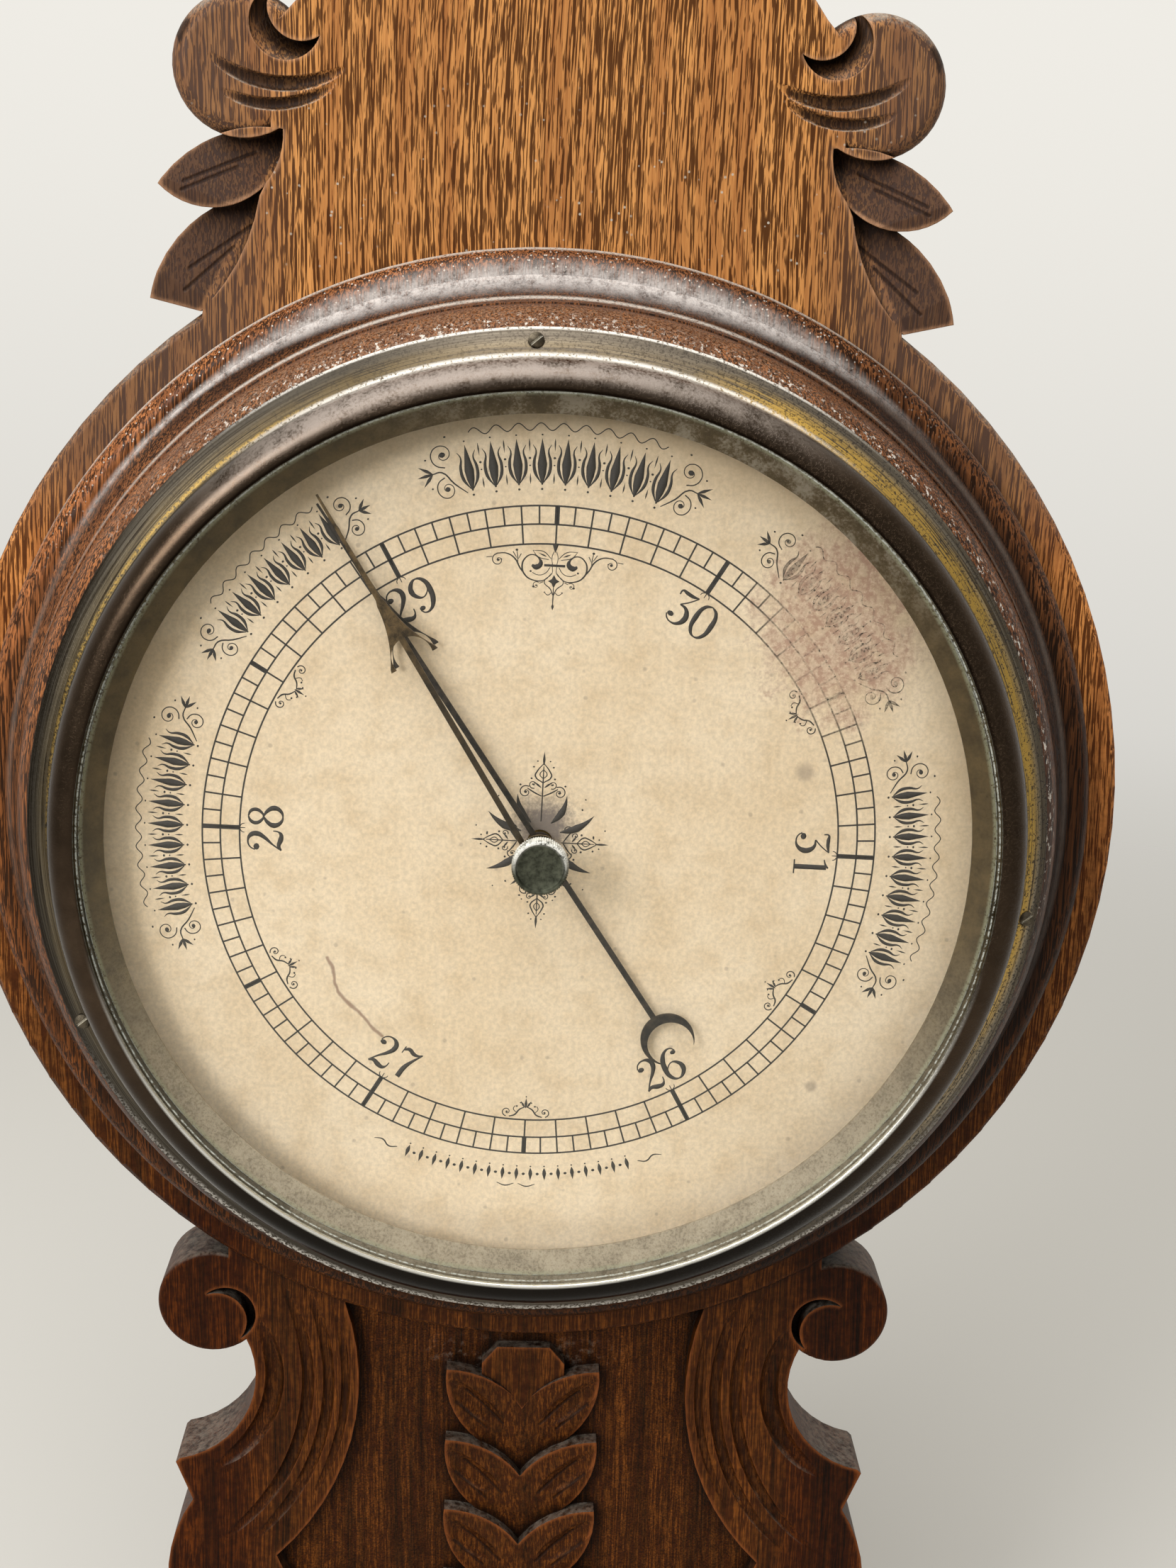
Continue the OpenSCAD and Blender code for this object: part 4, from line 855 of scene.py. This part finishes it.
class BAROMETER_OT_scale_ring(bpy.types.Operator):
    """Prints the scale's three circles with their fine and heavy marks"""

    bl_idname = "barometer.scale_ring"
    bl_label = "Scale ring"

    def execute(self, context):
        settings = context.scene.barometer_dial
        inner, middle, outer = settings.rings
        pieces = [ring_line(radius, settings.fine) for radius in settings.rings]
        pieces.append(spun_marks(middle, outer, settings.fine, settings.marks))
        pieces.append(spun_marks(inner, middle, settings.fine, settings.marks // 2))
        pieces.append(spun_marks(inner, outer, settings.heavy, 6, math.radians(30)))
        pieces.append(spun_marks(middle, outer, settings.heavy, 6))
        alone(pieces[0])
        for piece in pieces:
            piece.select_set(True)
        bpy.ops.object.join()
        ring = context.object
        welded(ring)
        coat = ring.modifiers.new("ink", "SOLIDIFY")
        coat.thickness = INK_THICKNESS
        coat.offset = 0.0
        bpy.ops.object.modifier_apply(modifier=coat.name)
        settle(ring, "scale_ring", printing_ink(settings), settings.tilt)
        return {"FINISHED"}


def dot(s, t, radius):
    """A round dot as a short stroke."""
    return [(s + radius * part, t, radius * wide)
            for part, wide in ((-1, 0.02), (-0.75, 0.66), (0, 1), (0.75, 0.66), (1, 0.02))]


def leaf(s, t, turn, size, half):
    """A pointed leaf from a point, turned clockwise from outwards."""
    side, out = math.sin(math.radians(turn)), math.cos(math.radians(turn))
    return [(s + side * size * part, t + out * size * part, half * wide)
            for part, wide in ((0, 0.15), (0.25, 0.8), (0.45, 1), (0.75, 0.5), (1, 0.03))]


def curl(s, t, radius, start, turns, half):
    """A scroll that winds in to its eye, with a dot there. Negative turns wind the other way."""
    steps = max(6, round(abs(turns) * 9))
    points = []
    for step in range(steps + 1):
        part = step / steps
        angle = math.radians(start) + turns * math.tau * part
        reach = radius * (1 - 0.78 * part)
        points.append((s + reach * math.sin(angle), t + reach * math.cos(angle), half * (1 - 0.4 * part)))
    return [points, dot(s, t, max(radius * 0.24, half))]


def mirrored(strokes):
    """The strokes and their mirror images."""
    return strokes + [[(-s, t, half) for s, t, half in stroke] for stroke in strokes]


def moved(strokes, along, out, scale=1.0):
    """The strokes moved along and out, at another scale but with the same line."""
    return [[(s * scale + along, t * scale + out, half) for s, t, half in stroke] for stroke in strokes]


# Each figure in a box one high: strokes of centre points with half widths
FIGURES = {
    "0": [[(.28, .98, .022), (.43, .88, .055), (.5, .5, .085), (.43, .12, .055), (.28, .02, .022),
           (.13, .12, .055), (.06, .5, .085), (.13, .88, .055), (.28, .98, .022)]],
    "1": [[(.28, .04, .08), (.28, .5, .08), (.28, .93, .08)], [(.1, .02, .02), (.46, .02, .02)],
          [(.3, .98, .03), (.2, .9, .03), (.08, .86, .018)]],
    "2": [dot(.13, .74, .085),
          [(.05, .78, .02), (.12, .92, .022), (.28, .98, .03), (.43, .89, .075), (.46, .73, .085),
           (.38, .54, .062), (.2, .3, .03), (.05, .05, .02)],
          [(.05, .05, .03), (.16, .12, .06), (.32, .07, .085), (.45, .06, .06), (.52, .14, .025),
           (.54, .28, .018)]],
    "3": [[(.06, .8, .02), (.07, .93, .03), (.2, .93, .06), (.36, .93, .055), (.52, .97, .02)],
          [(.52, .97, .018), (.36, .74, .02), (.2, .57, .022)],
          [(.2, .57, .02), (.36, .55, .05), (.47, .4, .085), (.48, .25, .09), (.38, .07, .05),
           (.24, .02, .024), (.1, .07, .022), (.03, .18, .02)], dot(.12, .22, .085)],
    "4": [[(.4, .97, .03), (.04, .3, .02)], [(.02, .28, .022), (.56, .28, .022)],
          [(.4, .94, .075), (.4, .04, .085)], [(.24, .02, .02), (.56, .02, .02)]],
    "6": [dot(.44, .82, .075),
          [(.5, .86, .02), (.42, .96, .022), (.28, .95, .04), (.13, .76, .08), (.07, .45, .09),
           (.11, .16, .065), (.28, .02, .024), (.44, .12, .065), (.5, .3, .085), (.43, .48, .055),
           (.3, .56, .022), (.17, .48, .02), (.1, .36, .018)]],
    "7": [[(.05, .74, .018), (.06, .97, .02)],
          [(.06, .86, .03), (.17, .94, .065), (.32, .88, .068), (.45, .9, .04), (.54, .98, .018)],
          [(.54, .97, .02), (.4, .68, .045), (.3, .38, .08), (.28, .05, .085)]],
    "8": [[(.28, .98, .022), (.41, .91, .052), (.45, .77, .06), (.39, .63, .045), (.28, .56, .024),
           (.17, .63, .05), (.11, .77, .062), (.16, .91, .05), (.28, .98, .022)],
          [(.28, .56, .024), (.42, .45, .06), (.5, .27, .085), (.43, .09, .058), (.28, .02, .022),
           (.13, .09, .058), (.06, .27, .085), (.14, .45, .06), (.28, .56, .024)]],
}
FIGURES["9"] = [[(.56 - s, 1 - t, half) for s, t, half in stroke] for stroke in FIGURES["6"]]
FIGURE_PITCH, FIGURE_MIDDLE, FIGURE_STRETCH = 0.62, 0.28, 1.14


def number(text, height):
    """The strokes of a number, centred, with its height in millimetres."""
    strokes = []
    for place, figure in enumerate(text):
        shift = (place - (len(text) - 1) / 2) * FIGURE_PITCH - FIGURE_MIDDLE
        strokes += [[((s + shift) * height * FIGURE_STRETCH, (t - 0.5) * height, half * height)
                     for s, t, half in stroke] for stroke in FIGURES[figure]]
    return strokes


def flat_at(strokes, angle, radius, inward=False):
    """Strokes laid flat on the dial at an angle and radius, with their tops outwards or to the centre."""
    side, out = math.sin(math.radians(angle)), math.cos(math.radians(angle))
    way = -1 if inward else 1
    return [[((radius + way * t) * side + way * s * out, (radius + way * t) * out - way * s * side, half)
             for s, t, half in stroke] for stroke in strokes]


def bent_at(strokes, angle, radius):
    """Strokes bent along a circle of the dial, with their middle at an angle."""
    start = math.radians(angle)
    return [[((radius + t) * math.sin(start + s / radius), (radius + t) * math.cos(start + s / radius), half)
             for s, t, half in stroke] for stroke in strokes]


def inked(strokes, centre):
    """Strokes in millimetres about a centre as one flat mesh: tubes of a curve, pressed flat."""
    bpy.ops.object.select_all(action="DESELECT")
    bpy.ops.curve.primitive_bezier_curve_add(location=(0, 0, 0))
    drawing = bpy.context.object
    line = drawing.data
    line.splines.clear()
    line.dimensions = "3D"
    line.bevel_depth = MM
    line.bevel_resolution = 1
    line.resolution_u = 4
    line.use_fill_caps = True
    for stroke in strokes:
        spline = line.splines.new("BEZIER")
        spline.bezier_points.add(len(stroke) - 1)
        for point, (s, t, half) in zip(spline.bezier_points, stroke):
            point.co = (centre.x + s * MM, centre.y, centre.z + t * MM)
            point.radius = half
            point.handle_left_type = point.handle_right_type = "AUTO"
    alone(drawing)
    bpy.ops.object.convert(target="MESH")
    bpy.ops.object.mode_set(mode="EDIT")
    bpy.ops.mesh.select_all(action="SELECT")
    bpy.ops.transform.resize(value=(1, FLATTENING, 1), center_override=centre)
    bpy.ops.transform.translate(value=(0, -INK_LIFT, 0))
    bpy.ops.mesh.normals_make_consistent(inside=False)
    bpy.ops.object.mode_set(mode="OBJECT")
    return bpy.context.object


def printed(strokes, name, settings):
    """Prints strokes on the dial's card."""
    settle(inked(strokes, DIAL), name, bpy.data.materials["dial_ink"], settings.tilt)


class BAROMETER_OT_numbers(bpy.types.Operator):
    """Prints the numbers of the scale, 26 to 31"""

    bl_idname = "barometer.numbers"
    bl_label = "Numbers"

    def execute(self, context):
        settings = context.scene.barometer_dial
        tail = mirrored([[(0.1, 0, 0.12), (0.9, -0.5, 0.12), (1.1, -1.1, 0.1)]])
        tail.append([(0, 0, 0.14), (0, -1.3, 0.1)])
        strokes = []
        for step in range(6):
            angle = (150 + 60 * step) % 360
            figures = number(str(26 + step), settings.number_height / MM)
            strokes += flat_at(figures, angle, settings.number_radius / MM, inward=90 < angle < 270)
            strokes += flat_at(tail, angle, settings.rings[0] / MM)
        printed(strokes, "scale_numbers", settings)
        return {"FINISHED"}


def half_inch_scroll():
    """The little scroll at each half inch: two curls and a three-leaved sprig."""
    arm = [(0.2, -3.4, 0.13), (1.6, -2.6, 0.2), (2.6, -1.3, 0.22), (4.0, -0.8, 0.16)]
    side = [arm, [(2.2, -1.8, 0.1), (3.0, -2.8, 0.12), (2.6, -3.6, 0.1)], dot(2.2, -3.5, 0.26)]
    side += curl(4.6, -2.0, 1.2, 10, 1.1, 0.16) + [leaf(0.3, -3.2, 150, 1.9, 0.3), dot(1.3, -4.4, 0.22)]
    return mirrored(side) + [leaf(0, -3.0, 180, 2.6, 0.34), dot(0, -6.0, 0.2)]


def palmette():
    """The larger ornament under the top of the scale: scrolls about a stem, a lozenge and a finial."""
    side = [
        [(0.3, -1.6, 0.09), (0.7, -3.0, 0.09), (0.5, -4.6, 0.09)],
        [(0.9, -3.2, 0.09), (2.6, -1.7, 0.12), (5.1, -1.5, 0.06)],
        [(5.1, -1.5, 0.06), (3.9, -2.9, 0.12), (1.4, -3.5, 0.09)], leaf(1.9, -2.8, 68, 2.0, 0.2),
        [(0.6, -6.6, 0.1), (2.2, -8.2, 0.13), (4.4, -8.4, 0.16), (6.6, -7.3, 0.2), (7.4, -5.2, 0.22),
         (6.7, -3.3, 0.18), (5.1, -2.5, 0.14), (3.6, -3.3, 0.2), (3.2, -4.5, 0.6), (4.2, -5.3, 0.74),
         (5.2, -4.9, 0.3)],
        [(1.0, -5.2, 0.1), (2.0, -6.6, 0.1), (3.6, -7.1, 0.1), (5.0, -6.6, 0.1)], dot(5.4, -6.3, 0.26),
        [(0.5, -5.0, 0.08), (0.5, -6.6, 0.08), (2.2, -8.6, 0.1), (0.7, -10.2, 0.12), (0.1, -11.6, 0.1)],
        [(2.4, -8.6, 0.09), (3.3, -9.0, 0.1)], dot(4.6, -9.8, 0.3),
        [(0.4, -11.0, 0.09), (1.2, -11.6, 0.12), (1.9, -11.2, 0.09)], dot(2.0, -11.0, 0.2),
        [(6.4, -7.4, 0.12), (7.9, -5.6, 0.2), (9.0, -3.7, 0.2), (11.0, -2.5, 0.16), (13.2, -2.6, 0.14)],
        [(8.4, -4.6, 0.1), (8.5, -3.0, 0.12), (8.7, -1.9, 0.1)], dot(8.75, -1.6, 0.32),
        [(8.3, -3.6, 0.08), (7.7, -2.4, 0.12)], [(8.7, -3.4, 0.08), (9.6, -2.0, 0.12)], dot(12.2, -3.9, 0.2),
        [(14.3, -3.4, 0.1), (15.6, -3.6, 0.1)],
    ]
    side += curl(4.0, -9.5, 0.9, 320, 1.0, 0.1) + curl(12.9, -4.1, 1.5, 10, 1.1, 0.14)
    stem = [[(0, 0.1, 0.7), (0, -0.8, 0.42), (0, -1.8, 0.08)], [(-2.4, -4.8, 0.32), (2.4, -4.8, 0.32)],
            [(0, -7.0, 0.05), (0, -7.9, 0.5), (0, -8.4, 1.3), (0, -8.9, 0.5), (0, -9.9, 0.05)],
            [(0, -9.8, 0.1), (0, -12.4, 0.14), (0, -15.0, 0.06)], leaf(0, -13.6, 180, 1.5, 0.3)]
    return mirrored(side) + stem


def filigree(end, width):
    """One arm of the star's filigree: scrolls on a stem, then a lozenge of loops and a point."""
    foot = end - 7.5
    side = [
        [(0, foot, 0.14), (0.9 * width, foot + 1.6, 0.2), (0.7 * width, foot + 2.8, 0.18),
         (0.1, foot + 4.6, 0.1)],
        [(0, foot + 1.0, 0.1), (0.4 * width, foot + 2.0, 0.14), (0, foot + 3.2, 0.1)],
        [(0.2, foot - 3.2, 0.14), (0.9 * width, foot - 2.4, 0.2), (1.7 * width, foot - 1.4, 0.14)],
        leaf(0.3, foot - 1.2, 52, 1.2 * width, 0.26), dot(1.3 * width, foot + 1.0, 0.26),
        dot(1.1 * width, foot + 3.8, 0.24), dot(2.5 * width, foot - 0.6, 0.26),
        dot(0.7 * width, foot + 5.2, 0.2),
    ]
    side += curl(1.9 * width, foot - 2.3, 0.75 * width, 330, 1.2, 0.16)
    side += curl(1.1 * width, foot - 0.4, 0.5 * width, 200, -1.0, 0.14)
    stem = [[(0, 5, 0.14), (0, foot, 0.16), (0, foot + 4, 0.1)], leaf(0, foot + 4.2, 0, 3.3, 0.3)]
    return mirrored(side) + stem


def star():
    """The star about the dial's centre: leafed rays, with filigree up, down and to the sides."""
    strokes = []
    for angle, size, half in ((27, 7.6, 0.95), (61, 9.0, 1.05), (120, 9.0, 1.05), (149, 7.4, 0.9)):
        for way in (-1, 1):
            ray = [(way * 0.9 * math.sin(math.pi * t / size), t + 5.2, wide)
                   for s, t, wide in leaf(0, 0, 0, size, half)]
            dots = [dot(way * 1.6, 12.5, 0.26), dot(way * 0.4, 11 + size * 0.5, 0.2)]
            strokes += flat_at([ray], way * angle, 0) + flat_at(dots, way * (angle + 15), 0)
    for angle, end, width in ((0, 21.8, 2.1), (180, 21.4, 1.7), (90, 16.2, 1.6), (270, 16.2, 1.6)):
        strokes += flat_at(filigree(end, width), angle, 0)
    return strokes


def frieze(size, rise, count):
    """A frieze of buds: leaves between petals, dotted gaps, a thin scroll above and shoots at its ends."""
    pitch = size / count
    bud = [leaf(0, -0.9 * rise, 0, 1.75 * rise, 0.21 * rise), dot(0, -1.06 * rise, 0.3),
           dot(0, rise, 0.22)]
    bud += mirrored([
        [(0.06 * pitch, -0.82 * rise, 0.1), (0.3 * pitch, -0.42 * rise, 0.42), (0.33 * pitch, 0.02, 0.38),
         (0.25 * pitch, 0.4 * rise, 0.18), (0.36 * pitch, 0.62 * rise, 0.06)]])
    gap = [leaf(0, 0.86 * rise, 180, 0.5 * rise, 0.2), dot(0, 0.12 * rise, 0.3),
           dot(0, -0.16 * rise, 0.2), leaf(0, -0.86 * rise, 0, 0.42 * rise, 0.2)]
    strokes = []
    for step in range(count):
        middle = (step - (count - 1) / 2) * pitch
        strokes += moved(bud, middle, 0)
        if step:
            strokes += moved(gap, middle - pitch / 2, 0)
    steps = 8 * count
    wave = [1.3 + 0.14 * math.sin(math.pi * step / 4) for step in range(steps + 1)]
    strokes.append([(0.84 * size * (step / steps - 0.5), rise * height, 0.13)
                    for step, height in enumerate(wave)])
    shoot = [[(-1.5, -0.95 * rise, 0.12), (1.2, -0.5 * rise, 0.2), (3.4, 0.1, 0.2), (5.6, 0.2, 0.14)]]
    shoot += curl(2.4, 0.66 * rise, 0.5 * rise, 180, -1.3, 0.16)
    shoot += curl(3.0, -0.66 * rise, 0.46 * rise, 0, 1.3, 0.16)
    shoot += [leaf(5.4, 0.2, turn, 0.62 * rise, 0.42) for turn in (50, 90, 130)]
    shoot += [dot(6.2, 0.62 * rise, 0.24), dot(6.4, -0.5 * rise, 0.24), dot(1.0, 1.3 * rise, 0.26)]
    return strokes + mirrored(moved(shoot, size / 2, 0))


def leaf_row(size, count):
    """A fine border of slim leaves and dots between two little scrolls."""
    strokes = []
    pitch = size / count
    for step in range(count):
        middle = (step - (count - 1) / 2) * pitch
        strokes += [leaf(middle, -1.5, 0, 3.2, 0.55), dot(middle, -2.0, 0.22)]
        if step:
            strokes.append(dot(middle - pitch / 2, 0, 0.4))
    scroll = [[(1, 0, 0.12), (3, 0.7, 0.2), (5, -0.3, 0.2), (7, 0.3, 0.08)]]
    strokes += mirrored(moved(scroll, size / 2, 0))
    return strokes + mirrored([[(0.5, 2.6, 0.1), (2.5, 3.3, 0.18), (4.5, 2.7, 0.1)]])


# Friezes of the dial: angle, radius, length, half height and number of buds
FRIEZES = ((270, 87.6, 46, 4.8, 9), (314, 87.6, 36, 4.8, 7), (1, 89, 50, 5.9, 9), (49, 87.6, 36, 4.8, 7),
           (93, 87.6, 46, 4.8, 9))


class BAROMETER_OT_ornament(bpy.types.Operator):
    """Prints the scrolls, the palmette, the star and the friezes of the dial"""

    bl_idname = "barometer.ornament"
    bl_label = "Dial ornament"

    def execute(self, context):
        settings = context.scene.barometer_dial
        inner = settings.rings[0] / MM
        strokes = flat_at(palmette(), 0, inner - 0.1)
        for angle in (60, 120, 180, 240, 300):
            strokes += flat_at(half_inch_scroll(), angle, inner)
        printed(strokes, "scale_scrolls", settings)
        printed(star(), "centre_star", settings)
        strokes = []
        for angle, radius, size, rise, count in FRIEZES:
            strokes += bent_at(frieze(size, rise, count), angle, radius)
        strokes += bent_at(leaf_row(58, 17), 181, 84.5)
        printed(strokes, "dial_friezes", settings)
        return {"FINISHED"}


class BAROMETER_OT_thermometer_print(bpy.types.Operator):
    """Prints marks and numbers on the thermometer's scale"""

    bl_idname = "barometer.thermometer_print"
    bl_label = "Thermometer print"

    def execute(self, context):
        low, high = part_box("thermometer_scale")
        tube_low, tube_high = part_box("thermometer_tube")
        centre = Vector(((low.x + high.x) / 2, low.y, tube_low.z))
        gap, count = 4.2, 50
        number_out, number_height = 11.6, 3.4
        start, top = 22, (tube_high.z - tube_low.z) / MM - 12
        pitch = (top - start) / count
        strokes = mirrored([[(gap, start, 0.12), (gap, top, 0.12)]])
        for step in range(count + 1):
            reach = 4.6 if step % 10 == 0 else (3.4 if step % 5 == 0 else 2.2)
            level = start + step * pitch
            strokes += mirrored([[(gap, level, 0.1), (gap + reach, level, 0.1)]])
            if step % 10 == 0:
                figures = number(str(20 + 2 * step), number_height)
                strokes += moved(figures, -number_out, level) + moved(figures, number_out, level)
        strokes += moved(half_inch_scroll(), 0, top + 14, 0.8)
        settle(inked(strokes, centre), "thermometer_marks", bpy.data.materials["dial_ink"])
        return {"FINISHED"}


# Knob: how far each step of its turning goes forward, in millimetres, and how much it widens

KNOB_STEPS = ((2.4, 1.0), (0.0, 1.5), (0.5, 1.1), (3.2, 1.0), (0.5, 0.93), (0.0, 0.93),
              (-0.7, 0.93), (-0.3, 0.7), (-0.12, 0.55))
KNOB_POINTS, TOOTH_DEPTH, TOOTHED_FROM = 144, 0.035, 0.97


def knob_metal():
    """The knob's dark metal: a green-grey dish, and a white haze with a painted highlight on its upper rim.
    """
    finish = Finish("knob_metal")
    x, h, z = finish.place()
    cloud = finish.mottle(0.6, 4.0, 0.7)
    fine = finish.mottle(2.4, 3.0, 0.7)
    metal = finish.mix(cloud.rise(0.3, 0.7), tone(40, 42, 31), tone(84, 86, 71))
    # A white haze on the upper rim, partly a painted highlight.
    bloom_and_highlight = (z + 3 * (fine - 0.5)).rise(-2.5, 4.5) * (cloud + 0.5 * fine).rise(0.5, 0.8)
    bloom_and_highlight = bloom_and_highlight * finish.reach(x, z).rise(4.9, 5.9)
    metal = metal.toward(tone(222, 220, 212), bloom_and_highlight * 0.9)
    metal = metal.toward(tone(30, 30, 24), fine.rise(0.58, 0.7) * 0.4)
    return finish.done(
        Base_Color=metal,
        Metallic=0.7 - 0.7 * bloom_and_highlight,
        Roughness=0.42 + 0.3 * bloom_and_highlight + 0.15 * fine,
        Normal=finish.bump(fine, 0.05, 0.6, finish.softened(0.15)),
    )


def milled(knob, radius):
    """Brings a turned knob to its radius, and draws in every second point of its rim."""
    widest = max(math.hypot(vertex.co.x - DIAL.x, vertex.co.z - DIAL.z) for vertex in knob.data.vertices)
    for vertex in knob.data.vertices:
        across = Vector((vertex.co.x - DIAL.x, 0, vertex.co.z - DIAL.z))
        step = round(math.atan2(across.x, across.z) / math.tau * KNOB_POINTS)
        toothed = across.length >= widest * TOOTHED_FROM and step % 2
        scale = radius / widest * (1 - TOOTH_DEPTH if toothed else 1)
        vertex.co.x = DIAL.x + across.x * scale
        vertex.co.z = DIAL.z + across.z * scale


class BAROMETER_OT_knob(bpy.types.Operator):
    """Turns and mills the set hand's dished knob"""

    bl_idname = "barometer.knob"
    bl_label = "Set knob"

    def execute(self, context):
        low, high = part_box("set_knob")
        radius = (high.x - low.x) / 2
        neck = Vector((DIAL.x, high.y, DIAL.z))
        bpy.ops.object.select_all(action="DESELECT")
        bpy.ops.mesh.primitive_circle_add(vertices=KNOB_POINTS, radius=radius * 0.6, fill_type="NGON",
                                          location=neck, rotation=(math.pi / 2, 0, 0), enter_editmode=True)
        for advance, scale in KNOB_STEPS:
            bpy.ops.mesh.extrude_region_move(TRANSFORM_OT_translate={"value": (0, -advance * MM, 0)})
            bpy.ops.transform.resize(value=(scale, 1, scale), center_override=neck)
        knob = drawn()
        milled(knob, radius)
        welded(knob)
        bpy.ops.object.shade_smooth_by_angle(angle=math.radians(25))
        knob.name = knob.data.name = "milled_knob"
        knob.data.materials.append(knob_metal())
        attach(knob, "set_hand_body")
        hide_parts("set_knob")
        return {"FINISHED"}


# Stage

FLOOR_RADIUS, FLOOR_DROP, FLOOR_POINTS = 3, 0.004, 96
LAMPS = (("key_lamp", Vector((-0.85, -1.1, 0.05)), 0.6), ("top_lamp", Vector((-0.2, -0.65, 0.8)), 1.1))


class BAROMETER_OT_stage(bpy.types.Operator):
    """Sets the camera, the soft light, the pale surroundings and the floor"""

    bl_idname = "barometer.stage"
    bl_label = "Stage"

    def execute(self, context):
        settings = context.scene.barometer_stage
        scene = context.scene
        scene.view_settings.view_transform = "Standard"
        bpy.ops.object.select_all(action="DESELECT")
        bpy.ops.object.camera_add(location=settings.place, rotation=settings.turn)
        camera = context.object
        camera.name = "camera"
        camera.data.lens = settings.lens
        camera.data.sensor_width = 36
        camera.data.clip_start = 0.01
        scene.camera = camera
        for (name, spot, size), power in zip(LAMPS, (settings.key_power, settings.top_power)):
            bpy.ops.object.light_add(type="AREA", location=spot)
            lamp = context.object
            lamp.name = name
            lamp.data.size = size
            lamp.data.energy = power
            lamp.rotation_euler = (DIAL - spot).to_track_quat("-Z", "Y").to_euler()
        self.surroundings(settings)
        self.floor(settings)
        return {"FINISHED"}

    def surroundings(self, settings):
        """A pale world: a wall behind, a lighter ceiling and a calmer room in front."""
        world = bpy.data.worlds.new("pale_room")
        bpy.context.scene.world = world
        finish = Finish("pale_room", world)
        x, y, z = finish.parts(finish.node("TexCoord", out="Generated"))
        room = finish.mix(z.rise(-0.55, 0.15), settings.ground, settings.wall)
        room = room.shade(0.45 + 0.55 * y.rise(-0.5, 0.3).most(z.rise(0.35, 0.85)))
        light = finish.node("Background", None, {"Color": room, "Strength": 1.0})
        finish.node("OutputWorld", None, {"Surface": light})

    def floor(self, settings):
        """A round pale floor that thins out at its rim."""
        bpy.ops.object.select_all(action="DESELECT")
        bpy.ops.mesh.primitive_circle_add(vertices=FLOOR_POINTS, radius=FLOOR_RADIUS, fill_type="NGON",
                                          location=(0, 0, CAD_BOX[0].z - FLOOR_DROP))
        ground = bpy.context.object
        ground.name = "floor"
        finish = Finish("pale_floor")
        x, y, z = finish.parts(finish.node("TexCoord", out="Object"))
        rim = finish.reach(x, y).rise(0.5, 1.6)
        plain = finish.node("BsdfDiffuse", None, {"Color": (*settings.ground, 1)})
        through = finish.node("BsdfTransparent")
        both = finish.node("MixShader", None, {0: rim, 1: plain, 2: through})
        finish.node("OutputMaterial", None, {"Surface": both})
        ground.data.materials.append(finish.owner)


class BAROMETER_PT_panel(bpy.types.Panel):
    """Lists the barometer's settings and its pieces"""

    bl_idname = "BAROMETER_PT_panel"
    bl_label = "Banjo barometer"
    bl_space_type = "VIEW_3D"
    bl_region_type = "UI"
    bl_category = "Barometer"

    def draw(self, context):
        layout = self.layout
        for owner in SETTINGS:
            group = getattr(context.scene, owner)
            for key in group.bl_rna.properties.keys():
                if key not in ("rna_type", "name"):
                    layout.prop(group, key)
        for piece in PIECES:
            layout.operator(piece.bl_idname)


SETTINGS = {"barometer_case": CaseSettings, "barometer_dial": DialSettings, "barometer_stage": StageSettings}
PIECES = (BAROMETER_OT_stage, BAROMETER_OT_oak, BAROMETER_OT_metal, BAROMETER_OT_dial,
          BAROMETER_OT_scale_ring, BAROMETER_OT_numbers, BAROMETER_OT_ornament,
          BAROMETER_OT_thermometer_print, BAROMETER_OT_knob)


def register():
    """Adds the settings, the operators and the panel to Blender."""
    for owner, group in SETTINGS.items():
        bpy.utils.register_class(group)
        setattr(bpy.types.Scene, owner, PointerProperty(type=group))
    for piece in (*PIECES, BAROMETER_PT_panel):
        bpy.utils.register_class(piece)


def unregister():
    """Takes them out again."""
    for piece in (BAROMETER_PT_panel, *reversed(PIECES)):
        bpy.utils.unregister_class(piece)
    for owner, group in SETTINGS.items():
        delattr(bpy.types.Scene, owner)
        bpy.utils.unregister_class(group)


def main():
    """Dresses the whole object."""
    register()
    bpy.ops.barometer.stage()
    bpy.ops.barometer.oak()
    bpy.ops.barometer.metal()
    bpy.ops.barometer.dial()
    bpy.ops.barometer.scale_ring()
    bpy.ops.barometer.numbers()
    bpy.ops.barometer.ornament()
    bpy.ops.barometer.thermometer_print()
    bpy.ops.barometer.knob()


if __name__ == "__main__":
    main()
